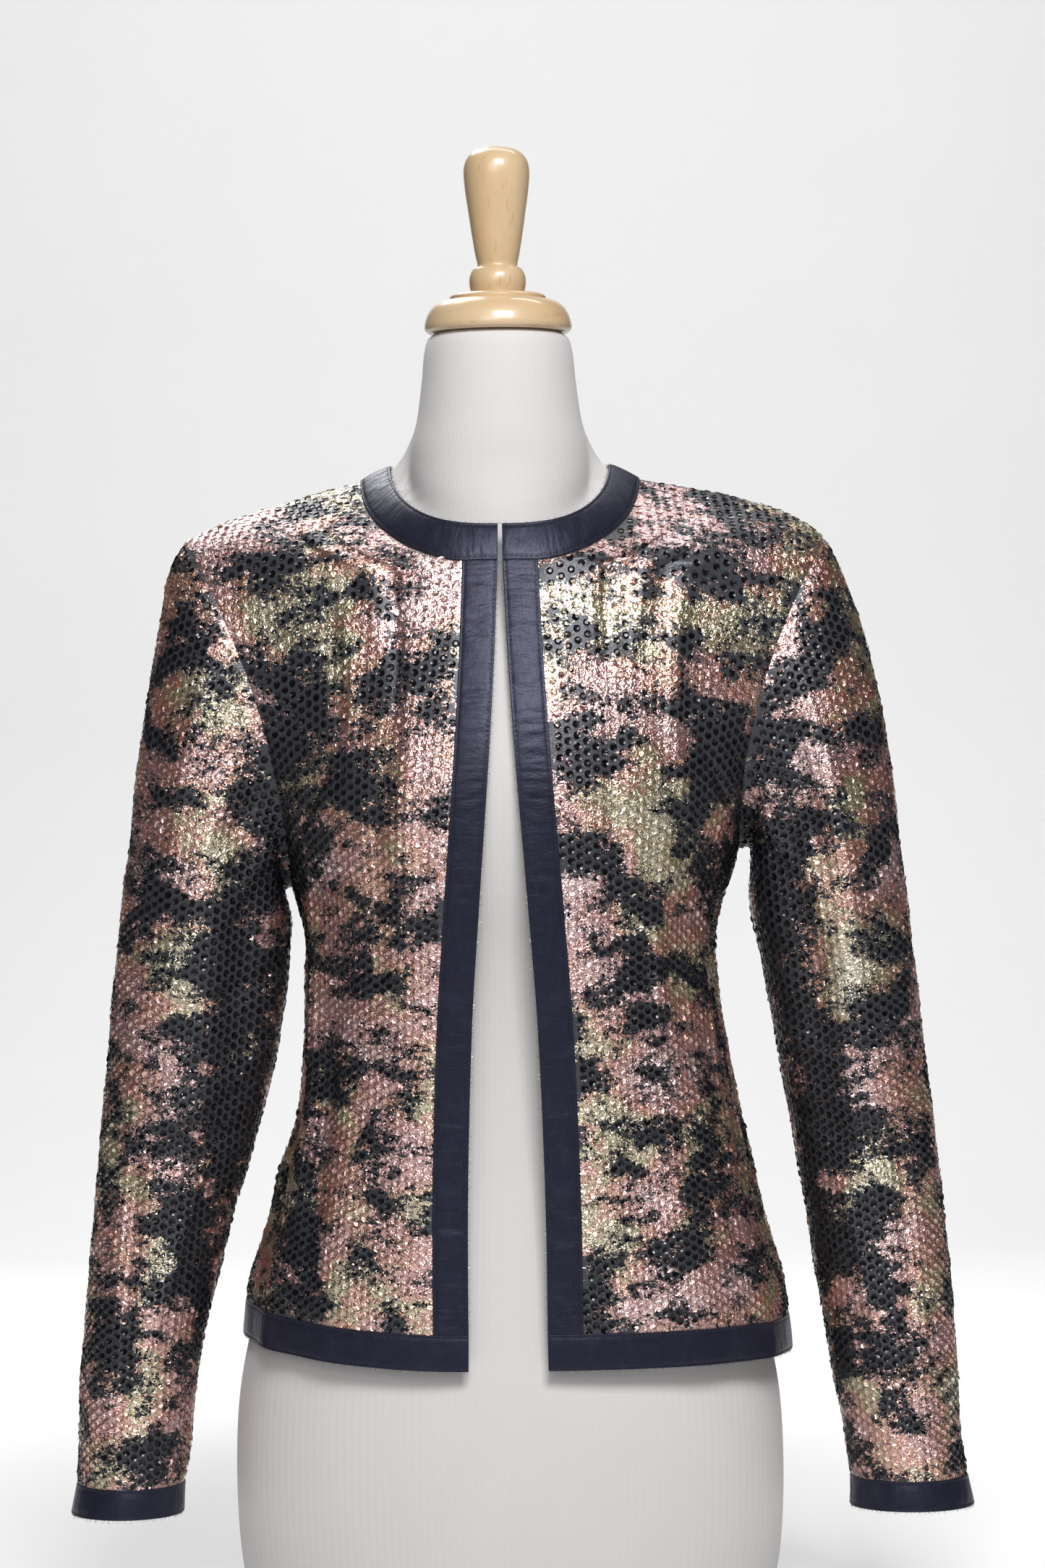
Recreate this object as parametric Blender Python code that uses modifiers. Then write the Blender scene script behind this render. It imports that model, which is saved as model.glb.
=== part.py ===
"""Sequin jacket worn on a limbless dress form.

The front faces -Y, the wearer's left is +X and up is +Z. All sizes below are in millimetres from the form's own
axis, and a mesh gets them in metres from the middle of the base of the box round the whole part.
"""

import math

import bmesh
import bpy
from mathutils import Vector

METRES = 0.001
ORIGIN = Vector((7.73, 1.3, 0.0))

# Cloth and seams
CLOTH_WALL = 1.8
BAND_WALL = 2.2
SEAM_GAP = 0.3
BAND_RISE = 0.4
BAND_WIDTH = 22.0
CUFF_WIDTH = 18.5

# The worn torso: a level, the half widths to the two side seams, and the depths to the front and back edges
TORSO_COLUMNS = ("height", "right", "left", "front", "back")
TORSO_SECTIONS = (
    (168, 170.0, 181.0, 125.0, 130.0),
    (192, 168.5, 178.0, 124.5, 127.0),
    (217, 164.0, 174.0, 123.0, 122.0),
    (250, 153.0, 164.5, 121.5, 115.0),
    (282, 144.5, 157.0, 120.5, 108.0),
    (314, 134.5, 150.5, 120.0, 102.0),
    (346, 129.0, 143.5, 120.0, 98.0),
    (378, 127.5, 138.0, 120.5, 96.0),
    (410, 127.0, 134.5, 121.5, 97.0),
    (443, 127.5, 135.5, 123.0, 100.0),
    (480, 138.0, 147.0, 124.0, 105.0),
    (530, 150.0, 156.0, 122.0, 109.0),
    (565, 156.0, 160.0, 115.5, 110.0),
    (600, 160.0, 164.0, 104.5, 109.0),
    (640, 164.0, 168.0, 89.5, 102.0),
    (668, 166.0, 170.0, 78.5, 90.5),
    (702, 168.0, 172.0, 64.0, 73.0),
)

# Half the gap between the two front edges
OPENING_COLUMNS = ("height", "gap")
OPENING_SECTIONS = (
    (168, 24.2),
    (274, 23.6),
    (380, 20.0),
    (460, 14.4),
    (540, 8.4),
    (600, 4.6),
    (640, 2.7),
    (668, 1.6),
    (691, 1.3),
)

# Each side: its sign on X, shoulder point and armpit as (x, z), the shoulder seam's two handles, and the side hem
SIDES = {
    "right": {
        "sign": -1,
        "shoulder": (200, 685),
        "armpit": (134.5, 464),
        "seam_handles": ((130, 712), (180, 696)),
        "side_hem": 204,
    },
    "left": {
        "sign": 1,
        "shoulder": (206.5, 682.5),
        "armpit": (149, 487),
        "seam_handles": ((131, 714), (188, 702)),
        "side_hem": 191,
    },
}
CENTRE_HEM = 192
SIDE_SEAM_Y = 5.0
SHOULDER_Y = 4.0
ARMPIT_Y = 3.0

# Neckline: half width, fullness (1 is an ellipse, less is squarer), shoulder height and depth, and the centre front
# and centre back as (y, z), at the band's two edges
NECK_EDGE = {
    "half": 69.7,
    "fullness": 0.72,
    "top": 732.0,
    "top_y": 6.0,
    "front": (-68.5, 691.0),
    "back": (62.5, 722.0),
}
NECK_SEAM = {
    "half": 89.0,
    "fullness": 0.85,
    "top": 722.5,
    "top_y": 5.0,
    "front": (-78.5, 668.0),
    "back": (73.0, 702.0),
}

# Armhole: half depth front to back, and how far its front and back bow in towards the chest
ARMHOLE_HALF_DEPTH = 54.0
ARMHOLE_BOW_FRONT = 15.0
ARMHOLE_BOW_BACK = 7.0

# Panel grid: steps from hem to armpit, up the armhole, round the neck, and across half the body
SKIRT_STEPS = 10
CHEST_STEPS = 8
NECK_STEPS = 5
PANEL_STEPS = 11
CHEST_START = {"front": 505.0, "back": 505.0}
UPPER_ARMHOLE = {"front": 62.0, "back": 44.0}

# The sleeves: a level, the outer and inner outlines of each, half the depth, and how far the middle lies back
SLEEVE_COLUMNS = ("height", "right_out", "right_in", "left_out", "left_in", "depth", "back")
SLEEVE_SECTIONS = (
    (73, 276.5, 206.0, 292.0, 214.0, 41.0, -28.5),
    (92, 273.0, 205.0, 288.0, 214.5, 41.0, -25.5),
    (121, 271.5, 201.0, 283.5, 211.5, 42.0, -22.0),
    (153, 270.5, 198.0, 282.5, 205.5, 43.0, -18.0),
    (185, 268.0, 192.0, 281.0, 200.0, 44.5, -14.0),
    (217, 265.5, 184.0, 279.5, 195.0, 46.0, -10.0),
    (250, 263.0, 176.5, 277.0, 190.5, 48.0, -6.0),
    (282, 260.0, 167.0, 274.5, 186.0, 50.0, -3.0),
    (314, 257.0, 157.0, 270.5, 181.0, 52.0, 0.0),
    (346, 254.0, 149.0, 267.0, 175.0, 54.0, 2.0),
    (379, 251.0, 142.5, 263.5, 170.0, 55.5, 3.0),
    (411, 248.0, 138.0, 260.5, 164.5, 56.5, 3.0),
    (443, 244.0, 135.8, 257.0, 158.0, 57.5, 3.0),
    (458, 242.2, 139.5, 255.2, 156.5, 58.0, 3.0),
    (475, 240.2, 143.0, 253.5, 157.5, 58.0, 3.0),
    (507, 236.3, 145.0, 250.0, 159.0, 58.0, 3.0),
    (540, 232.3, 146.0, 246.0, 159.5, 58.0, 3.0),
    (572, 227.5, 147.0, 241.5, 160.0, 57.0, 3.0),
    (604, 222.0, 148.0, 235.0, 160.5, 56.0, 3.0),
    (636, 216.0, 150.0, 226.0, 161.0, 55.0, 3.0),
    (652, 213.3, 151.0, 220.0, 161.5, 54.5, 3.0),
    (668, 209.5, 152.0, 213.5, 162.0, 54.0, 3.0),
    (685, 200.0, 153.0, 205.5, 163.0, 54.0, 3.0),
)
# Where each ring of the sleeve's cap stands: its height on the outer and on the inner outline, as shares of the cap
CAP_COLUMNS = ("outer", "inner")
CAP_RINGS = (
    (0.0, 0.0),
    (0.07, 0.03),
    (0.18, 0.13),
    (0.32, 0.29),
    (0.48, 0.44),
    (0.65, 0.61),
    (0.82, 0.80),
    (1.0, 1.0),
)
CAP_END = 436.0
ARM_STEPS = 11
CUFF_TOP = 91.5

# Folds on the torso: a panel, its middle as a share of the way to the side seam at the fold's foot and head,
# its half width as such a share, the heights it runs between, and how far it stands out (or in, below zero)
FOLD_COLUMNS = ("panel", "foot", "head", "width", "low", "high", "rise")
TORSO_FOLDS = (
    ("front_right", 0.60, 0.68, 0.09, 150, 470, 5.0),
    ("front_right", 0.76, 0.86, 0.08, 190, 470, -4.5),
    ("front_right", 0.34, 0.40, 0.10, 150, 400, 2.5),
    ("front_right", 0.56, 0.50, 0.05, 560, 740, -2.5),
    ("front_left", 0.66, 0.66, 0.09, 150, 450, 4.5),
    ("front_left", 0.84, 0.84, 0.08, 200, 470, -4.5),
    ("front_left", 0.36, 0.42, 0.10, 150, 420, 2.5),
    ("front_left", 0.38, 0.34, 0.06, 580, 735, -2.2),
    ("back_right", 0.45, 0.35, 0.12, 150, 520, 3.0),
    ("back_right", 0.72, 0.64, 0.10, 200, 500, -3.5),
    ("back_left", 0.50, 0.38, 0.12, 150, 520, 3.0),
    ("back_left", 0.76, 0.66, 0.10, 200, 500, -3.5),
)
# Folds on the sleeves: a side, the angle round the sleeve at foot and head (0 outer, 90 front, 180 inner),
# its half width in degrees, its heights, and how far it stands out
SLEEVE_FOLD_COLUMNS = ("side", "foot", "head", "width", "low", "high", "rise")
SLEEVE_FOLDS = (
    ("right", 128, 112, 20, 250, 640, -6.0),
    ("right", 96, 84, 18, 300, 600, 3.5),
    ("right", 240, 256, 24, 230, 560, -5.0),
    ("left", 122, 108, 20, 260, 650, -6.0),
    ("left", 88, 78, 18, 300, 610, 3.5),
    ("left", 236, 250, 24, 230, 560, -5.0),
)

# The dress form: a level, half width, front and back depths
FORM_COLUMNS = ("height", "middle", "half", "front", "back", "neck_half", "neck_front", "neck_back")
FORM_SECTIONS = (
    (0, 0.0, 150.0, 98.0, 102.0, 40.0, 38.0, 38.0),
    (4, 0.0, 157.5, 105.0, 109.0, 40.0, 38.0, 38.0),
    (14, 0.0, 164.0, 110.5, 114.5, 40.0, 38.0, 38.0),
    (36, 0.0, 170.0, 115.0, 119.0, 40.0, 38.0, 38.0),
    (72, 0.0, 173.2, 118.0, 122.0, 40.0, 38.0, 38.0),
    (110, 0.0, 173.5, 119.0, 123.0, 40.0, 38.0, 38.0),
    (140, 0.0, 171.8, 118.5, 121.5, 40.0, 38.0, 38.0),
    (165, 0.0, 168.0, 117.0, 119.0, 40.0, 38.0, 38.0),
    (190, 0.0, 162.0, 114.5, 114.0, 40.0, 38.0, 38.0),
    (220, 0.0, 152.5, 111.0, 106.5, 40.0, 38.0, 38.0),
    (255, 0.0, 139.0, 106.0, 97.0, 40.0, 38.0, 38.0),
    (300, 0.0, 125.0, 100.0, 87.0, 40.0, 38.0, 38.0),
    (345, 0.0, 116.0, 96.5, 80.0, 40.0, 38.0, 38.0),
    (385, 0.0, 113.0, 96.0, 78.0, 40.0, 38.0, 38.0),
    (425, 0.0, 115.0, 99.5, 81.0, 40.0, 38.0, 38.0),
    (465, 0.0, 124.0, 108.0, 88.0, 40.0, 38.0, 38.0),
    (505, 0.0, 132.0, 113.5, 94.0, 40.0, 38.0, 38.0),
    (535, 0.0, 137.0, 113.5, 98.5, 40.0, 38.0, 38.0),
    (565, 0.5, 140.0, 107.5, 101.0, 40.0, 38.0, 38.0),
    (600, 1.5, 146.0, 97.0, 98.0, 42.0, 40.0, 40.0),
    (630, 3.0, 155.0, 84.5, 91.0, 45.0, 43.0, 43.0),
    (650, 4.5, 162.0, 74.5, 82.0, 48.0, 48.0, 46.0),
    (664, 5.5, 165.5, 66.5, 74.5, 51.0, 54.0, 50.0),
    (676, 6.0, 167.0, 56.0, 67.0, 53.0, 60.0, 51.0),
    (685, 6.5, 166.5, 46.5, 61.0, 54.5, 61.5, 50.0),
    (691, 6.5, 163.5, 38.0, 56.5, 55.5, 61.0, 49.0),
    (696, 6.5, 157.5, 31.0, 52.0, 56.0, 59.8, 48.5),
    (700.5, 6.5, 149.0, 24.0, 45.5, 56.5, 58.5, 48.0),
    (705, 6.5, 136.0, 17.5, 38.0, 57.0, 57.0, 47.5),
    (709, 6.0, 123.0, 13.5, 31.0, 57.3, 55.5, 47.5),
    (713, 6.0, 109.0, 10.5, 25.0, 57.5, 54.6, 47.3),
    (717, 5.5, 95.0, 8.5, 20.0, 57.6, 53.5, 47.3),
    (722, 5.0, 79.0, 8.0, 16.0, 57.6, 52.5, 47.3),
    (728, 4.5, 68.5, 8.0, 13.0, 57.5, 51.4, 47.8),
    (736, 3.5, 59.5, 8.0, 10.0, 57.0, 50.4, 48.2),
    (746, 1.8, 50.0, 8.0, 9.0, 55.5, 49.3, 48.8),
    (760, 0.6, 35.0, 8.0, 8.0, 52.3, 48.0, 49.3),
    (785, 0.0, 30.0, 8.0, 8.0, 48.9, 46.8, 48.2),
    (803, 0.0, 30.0, 8.0, 8.0, 47.2, 45.4, 46.4),
    (811.7, 0.0, 30.0, 8.0, 8.0, 44.6, 43.4, 44.0),
    (815.2, 0.0, 30.0, 8.0, 8.0, 40.5, 39.5, 40.0),
)
FORM_ROUNDNESS = 2.1
FORM_BLEND = 10
FORM_SIDES = 36

# Turned wood on the form's neck: (radius, height) down the outside of each piece
CAP_PROFILE = (
    (24.0, 840.4),
    (28.5, 839.8),
    (30.6, 838.2),
    (31.0, 836.4),
    (37.0, 835.2),
    (42.0, 831.6),
    (45.2, 826.4),
    (46.8, 820.6),
    (46.5, 817.4),
    (44.5, 815.5),
)
HANDLE_PROFILE = (
    (8.0, 933.4),
    (13.5, 931.6),
    (17.6, 928.4),
    (20.2, 923.6),
    (21.1, 917.0),
    (20.2, 906.0),
    (18.2, 892.0),
    (16.2, 878.0),
    (14.2, 866.0),
    (12.8, 858.2),
    (15.4, 856.2),
    (17.4, 852.6),
    (18.1, 848.4),
    (17.7, 844.2),
    (16.6, 840.7),
)
TURNED_SIDES = 32

# Finish of each sub-part: colour, roughness, metallic
FINISHES = {
    "sequin_cloth": ((0.34, 0.23, 0.20, 1), 0.42, 0.75),
    "satin": ((0.035, 0.038, 0.062, 1), 0.38, 0.0),
    "jersey": ((0.78, 0.77, 0.77, 1), 0.85, 0.0),
    "beech": ((0.74, 0.53, 0.31, 1), 0.38, 0.0),
}


def clear_scene():
    for obj in list(bpy.data.objects):
        bpy.data.objects.remove(obj)


def placed(point):
    """A point in millimetres from the form's axis, in metres from the part's origin."""
    return (point - ORIGIN) * METRES


def smooth_step(share):
    share = min(1.0, max(0.0, share))
    return share * share * (3 - 2 * share)


def read_table(columns, rows, column, height):
    """A column of a table of levels, read at a height through a smooth curve."""
    at = columns.index(column)
    levels = [row[0] for row in rows]
    values = [row[at] for row in rows]
    height = min(levels[-1], max(levels[0], height))
    i = max(k for k in range(len(levels) - 1) if levels[k] <= height or k == 0)

    def slope(k):
        before, after = max(k - 1, 0), min(k + 1, len(levels) - 1)
        return (values[after] - values[before]) / (levels[after] - levels[before])

    span = levels[i + 1] - levels[i]
    t = (height - levels[i]) / span
    near, far = slope(i) * span, slope(i + 1) * span
    return (
        (2 * t**3 - 3 * t**2 + 1) * values[i]
        + (t**3 - 2 * t**2 + t) * near
        + (3 * t**2 - 2 * t**3) * values[i + 1]
        + (t**3 - t**2) * far
    )


def torso(column, height):
    return read_table(TORSO_COLUMNS, TORSO_SECTIONS, column, height)


def opening(height):
    return read_table(OPENING_COLUMNS, OPENING_SECTIONS, "gap", height)


def sleeve(column, height):
    return read_table(SLEEVE_COLUMNS, SLEEVE_SECTIONS, column, height)


def bezier(a, b, c, d, t):
    s = 1 - t
    return a * s**3 + b * 3 * s * s * t + c * 3 * s * t * t + d * t**3


def neck_curve(edge, face, angle):
    """A point of the neckline on the +X half. The angle is 0 at centre front or back and 90 at the shoulder."""
    turn = math.radians(angle)
    centre_y, centre_z = edge[face]
    inset = opening(centre_z) if face == "front" else 0.0
    return Vector(
        (
            inset + (edge["half"] - inset) * abs(math.sin(turn)) ** edge["fullness"],
            edge["top_y"] + (centre_y - edge["top_y"]) * math.cos(turn),
            edge["top"] + (centre_z - edge["top"]) * math.cos(turn),
        )
    )


def arm_ring_point(top, foot, depth, bowed, angle):
    """A point of a ring round the arm: 0 is its top or outer end, 90 the front, 180 its foot, 270 the back."""
    turn = math.radians(angle)
    point = (top + foot) / 2 + (top - foot) / 2 * math.cos(turn)
    point.y -= depth * math.sin(turn)
    bow = ARMHOLE_BOW_FRONT if math.sin(turn) > 0 else ARMHOLE_BOW_BACK
    point.x -= bowed * bow * math.sin(turn) ** 2
    return point


def armhole(side, angle):
    """A point of the armhole on the +X half."""
    facts = SIDES[side]
    top = Vector((facts["shoulder"][0], SHOULDER_Y, facts["shoulder"][1]))
    foot = Vector((facts["armpit"][0], ARMPIT_Y, facts["armpit"][1]))
    return arm_ring_point(top, foot, ARMHOLE_HALF_DEPTH, 1.0, angle)


def shoulder_directions(side):
    """The directions in which the shoulder seam leaves the neck and leaves the shoulder point."""
    facts = SIDES[side]
    start = neck_curve(NECK_SEAM, "front", 90)
    end = armhole(side, 0)
    first, second = (Vector((x, SHOULDER_Y, z)) for x, z in facts["seam_handles"])
    return first - start, second - end


def fold_rise(panel, share, height):
    """How far the folds of a torso panel stand out at a share of the way to its side and a height."""
    total = 0.0
    for row in TORSO_FOLDS:
        fold = dict(zip(FOLD_COLUMNS, row))
        if fold["panel"] != panel:
            continue
        along = (height - fold["low"]) / (fold["high"] - fold["low"])
        if not 0 < along < 1:
            continue
        middle = fold["foot"] + (fold["head"] - fold["foot"]) * along
        across = (share - middle) / fold["width"]
        total += fold["rise"] * math.exp(-across * across) * math.sin(math.pi * along) ** 0.7
    return total


def row_curve(side, face, start, end, lift_in, lift_out):
    """The curve across one half of a panel. lift_in and lift_out are 0 below the chest and 1 at the shoulder seam."""
    way = -1 if face == "front" else 1
    from_neck, from_shoulder = shoulder_directions(side)
    reach = end.x - start.x
    chord = (end - start).length
    flat_start = Vector((0.56 * reach, 0, 0))
    side_end = Vector((0, way * 0.60 * abs(end.y - start.y), 0))
    seam_start = from_neck.normalized() * 0.36 * chord
    seam_end = from_shoulder.normalized() * 0.30 * chord
    handle_in = start + flat_start.lerp(seam_start, lift_in)
    handle_out = end + side_end.lerp(seam_end, lift_out)
    return start, handle_in, handle_out, end


def panel_levels(side, face):
    """For each row of half a panel: where it starts, where it ends, and the two lifts of its curve."""
    facts = SIDES[side]
    middle = "front" if face == "front" else "back"
    sign = 1 if face == "front" else -1
    armpit_z = facts["armpit"][1]
    neck_z = NECK_SEAM[middle][1]
    rows = []
    for i in range(SKIRT_STEPS + 1):
        share = i / SKIRT_STEPS
        inner_z = CENTRE_HEM + (CHEST_START[face] - CENTRE_HEM) * share
        outer_z = facts["side_hem"] + (armpit_z - facts["side_hem"]) * share
        end = side_point(side, outer_z)
        rows.append((centre_point(face, inner_z), end, 0.0, 0.0))
    for i in range(1, CHEST_STEPS + 1):
        share = i / CHEST_STEPS
        inner_z = CHEST_START[face] + (neck_z - CHEST_START[face]) * share
        angle = 180 - (180 - UPPER_ARMHOLE[face]) * share
        lift_out = (1 + math.cos(math.radians(angle))) / 2
        rows.append((centre_point(face, inner_z), armhole(side, sign * angle), 0.0, lift_out))
    first = neck_start_angle(face)
    for i in range(1, NECK_STEPS + 1):
        share = i / NECK_STEPS
        neck_angle = first + (90 - first) * share
        angle = UPPER_ARMHOLE[face] * (1 - share)
        lift_out = (1 + math.cos(math.radians(angle))) / 2
        rows.append((neck_seam(side, face, neck_angle), armhole(side, sign * angle), smooth_step(share), lift_out))
    return rows


def centre_point(face, height):
    if face == "front":
        return Vector((opening(height), -torso("front", height), height))
    return Vector((0, torso("back", height), height))


def side_point(side, height):
    """The side seam, which runs into the armpit."""
    armpit = armhole(side, 180)
    level = SIDES[side]["armpit"][1]
    near = smooth_step((height - (level - 40)) / 40)
    x = torso(side, height)
    return Vector((x + (armpit.x - torso(side, level)) * near, SIDE_SEAM_Y + (ARMPIT_Y - SIDE_SEAM_Y) * near, height))


def neck_start_angle(face):
    """Where the neck seam passes the front band, or centre back."""
    if face == "back":
        return 0.0
    inset = opening(NECK_SEAM["front"][1])
    share = BAND_WIDTH / (NECK_SEAM["half"] - inset)
    return math.degrees(math.asin(share ** (1 / NECK_SEAM["fullness"])))


def neck_seam(side, face, angle):
    """The seam under the neck band. Beside the front band it lies on the row that the band ends at."""
    point = neck_curve(NECK_SEAM, face, angle)
    if face == "back":
        return point
    first = neck_start_angle(face)
    corner = band_corner(side)
    fade = 1 - smooth_step((angle - first) / 40)
    return point + (corner - neck_curve(NECK_SEAM, face, first)) * fade


def band_corner(side):
    """Where the front band's seam meets the neck band's."""
    return split_row(side, top_front_row(side))[0][-1]


def top_front_row(side):
    angle = UPPER_ARMHOLE["front"]
    lift_out = (1 + math.cos(math.radians(angle))) / 2
    return centre_point("front", NECK_SEAM["front"][1]), armhole(side, angle), 0.0, lift_out


def points_along(curve, shares):
    """Points of a Bezier curve at shares of its length."""
    fine = 80
    samples = [bezier(*curve, i / fine) for i in range(fine + 1)]
    lengths = [0.0]
    for before, after in zip(samples, samples[1:]):
        lengths.append(lengths[-1] + (after - before).length)
    found = []
    for share in shares:
        target = share * lengths[-1]
        k = max(i for i in range(fine) if lengths[i] <= target or i == 0)
        part = (target - lengths[k]) / (lengths[k + 1] - lengths[k])
        found.append(samples[k].lerp(samples[k + 1], min(1.0, max(0.0, part))))
    return found, lengths[-1]


def split_row(side, row):
    """A front row's points on the band and on the panel."""
    curve = row_curve(side, "front", *row)
    _, length = points_along(curve, (0, 1))
    seam = BAND_WIDTH / length
    band, _ = points_along(curve, [seam * i / 2 for i in range(3)])
    panel, _ = points_along(curve, [seam + (1 - seam) * i / PANEL_STEPS for i in range(PANEL_STEPS + 1)])
    return band, panel


def plain_row(side, face, row):
    points, _ = points_along(row_curve(side, face, *row), [i / PANEL_STEPS for i in range(PANEL_STEPS + 1)])
    return points


def raise_folds(panel, rows):
    """Moves the rows of a torso grid out by its folds, away from the body's upright axis. Its seams stay in place."""
    for i, points in enumerate(rows):
        near_shoulder = smooth_step((len(rows) - 1 - i) / 3)
        for j, point in enumerate(points):
            share = j / PANEL_STEPS
            near_seam = smooth_step(min(share, 1 - share) / 0.12)
            out = Vector((point.x, point.y, 0)).normalized()
            point += out * fold_rise(panel, share, point.z) * near_seam * near_shoulder


def mirrored(side, rows):
    sign = SIDES[side]["sign"]
    return [[Vector((sign * p.x, p.y, p.z)) for p in points] for points in rows]


def hem_row(top, drop):
    """A row of the hem band below a panel's lowest row."""
    lowered = []
    for point in top:
        z = point.z - drop
        grow = 1 + 0.012 * drop / BAND_WIDTH
        lowered.append(Vector((point.x * grow, point.y * grow, z)))
    return lowered


def front_grids(side):
    """The grids of one front: its panel, its band and its share of the hem band, from the middle out."""
    levels = panel_levels(side, "front")
    below_neck = SKIRT_STEPS + CHEST_STEPS + 1
    band, panel = [], []
    for i, row in enumerate(levels):
        if i < below_neck:
            on_band, on_panel = split_row(side, row)
            band.append(on_band)
            panel.append(on_panel)
        else:
            panel.append(plain_row(side, "front", row))
    raise_folds("front_" + side, panel)
    top = band[0][:-1] + panel[0]
    hem = [hem_row(top, BAND_WIDTH), hem_row(top, BAND_WIDTH / 2), top]
    return mirrored(side, panel), mirrored(side, band), mirrored(side, hem)


def back_half(side):
    levels = panel_levels(side, "back")
    rows = [plain_row(side, "back", row) for row in levels]
    raise_folds("back_" + side, rows)
    hem = [hem_row(rows[0], BAND_WIDTH), hem_row(rows[0], BAND_WIDTH / 2), rows[0]]
    return mirrored(side, rows), mirrored(side, hem)


def neck_angles():
    """(face, angle) from centre front over the shoulder to centre back, as the panels' rows meet the neck band."""
    first = neck_start_angle("front")
    front = [0.0, first / 2] + [first + (90 - first) * i / NECK_STEPS for i in range(NECK_STEPS + 1)]
    back = [90 * i / NECK_STEPS for i in range(NECK_STEPS - 1, -1, -1)]
    return [("front", a) for a in front] + [("back", a) for a in back]


def neck_half(side):
    """The neck band's grid on one side: a row for each angle, from its free edge to its seam."""
    on_band, _ = split_row(side, top_front_row(side))
    rows = []
    for i, (face, angle) in enumerate(neck_angles()):
        edge = neck_curve(NECK_EDGE, face, angle)
        seam = on_band[i] if i < len(on_band) else neck_seam(side, face, angle)
        middle = (edge + seam) / 2
        middle += Vector((0, -0.4 if face == "front" else 0.4, 0.6))
        rows.append([edge, middle, seam])
    return mirrored(side, rows)


def armhole_angles(side):
    """The angles round the armhole at which the panels' rows end, once round."""
    front = [180 - (180 - UPPER_ARMHOLE["front"]) * i / CHEST_STEPS for i in range(CHEST_STEPS + 1)]
    front += [UPPER_ARMHOLE["front"] * (1 - i / NECK_STEPS) for i in range(1, NECK_STEPS + 1)]
    back = [180 - (180 - UPPER_ARMHOLE["back"]) * i / CHEST_STEPS for i in range(CHEST_STEPS + 1)]
    back += [UPPER_ARMHOLE["back"] * (1 - i / NECK_STEPS) for i in range(1, NECK_STEPS + 1)]
    return list(reversed(front)) + [360 - a for a in back[1:-1]]


def sleeve_fold_rise(side, angle, height):
    total = 0.0
    for row in SLEEVE_FOLDS:
        fold = dict(zip(SLEEVE_FOLD_COLUMNS, row))
        along = (height - fold["low"]) / (fold["high"] - fold["low"])
        if fold["side"] != side or not 0 < along < 1:
            continue
        middle = fold["foot"] + (fold["head"] - fold["foot"]) * along
        across = (angle - middle) / fold["width"]
        total += fold["rise"] * math.exp(-across * across) * math.sin(math.pi * along) ** 0.7
    return total


def sleeve_ring(side, outer_z, inner_z, cap_share):
    """One ring of a sleeve. cap_share is 0 at the armhole and 1 where the rings lie level."""
    top = Vector((sleeve(side + "_out", outer_z), sleeve("back", outer_z), outer_z))
    foot = Vector((sleeve(side + "_in", inner_z), sleeve("back", inner_z), inner_z))
    depth = sleeve("depth", (outer_z + inner_z) / 2)
    depth = ARMHOLE_HALF_DEPTH + (depth - ARMHOLE_HALF_DEPTH) * cap_share
    points = []
    for angle in armhole_angles(side):
        point = arm_ring_point(top, foot, depth, (1 - cap_share) ** 2, angle)
        out = point - (top + foot) / 2
        out.z = 0
        point += out.normalized() * sleeve_fold_rise(side, angle, point.z) * smooth_step(cap_share * 2)
        points.append(point)
    return points


def sleeve_grids(side):
    """A sleeve's rings from the armhole to the cuff's seam, and the cuff's."""
    facts = SIDES[side]
    shoulder_z, armpit_z = facts["shoulder"][1], facts["armpit"][1]
    rings = [[armhole(side, angle) for angle in armhole_angles(side)]]
    for outer, inner in CAP_RINGS[1:]:
        outer_z = shoulder_z + (CAP_END - shoulder_z) * outer
        inner_z = armpit_z + (CAP_END - armpit_z) * inner
        rings.append(sleeve_ring(side, outer_z, inner_z, outer))
    for i in range(1, ARM_STEPS + 1):
        z = CAP_END + (CUFF_TOP - CAP_END) * i / ARM_STEPS
        rings.append(sleeve_ring(side, z, z, 1.0))
    cuff = [rings[-1]]
    for i in (1, 2):
        z = CUFF_TOP - CUFF_WIDTH * i / 2
        cuff.append(sleeve_ring(side, z, z, 1.0))
    return mirrored(side, rings), mirrored(side, cuff)


def place_of(point):
    return tuple(round(value, 2) for value in point)


def quads_of(rows, ring=False, flip=False):
    """The quads of a grid, each as four points that run round its outer face."""
    wide = len(rows[0])
    quads = []
    for i in range(len(rows) - 1):
        for j in range(wide if ring else wide - 1):
            k = (j + 1) % wide
            quad = [rows[i][j], rows[i][k], rows[i + 1][k], rows[i + 1][j]]
            quads.append(quad[::-1] if flip else quad)
    return quads


def halves_of(quad):
    """A quad's two triangles, split over its shorter diagonal, so that a wall's two sides bend alike."""
    a, b, c, d = quad
    if (a - c).length <= (b - d).length:
        return (a, b, c), (a, c, d)
    return (a, b, d), (b, c, d)


def normals_of(pieces):
    """The mean normal of the cloth at each place, over all pieces, so that those that meet share their seam's."""
    normals = {}
    for quads in pieces.values():
        for a, b, c, d in quads:
            normal = (c - a).cross(d - b).normalized()
            for point in (a, b, c, d):
                normals[place_of(point)] = normals.get(place_of(point), Vector()) + normal
    return {place: normal.normalized() for place, normal in normals.items()}


def free_edges(quads):
    """A piece's edges that only one of its quads has, by their two places, each with the way into the piece."""
    edges = {}
    for quad in quads:
        normal = (quad[2] - quad[0]).cross(quad[3] - quad[1])
        for a, b in zip(quad, quad[1:] + quad[:1]):
            edges[(place_of(a), place_of(b))] = normal.cross(b - a).normalized()
    return {ends: inward for ends, inward in edges.items() if ends[::-1] not in edges}


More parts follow.
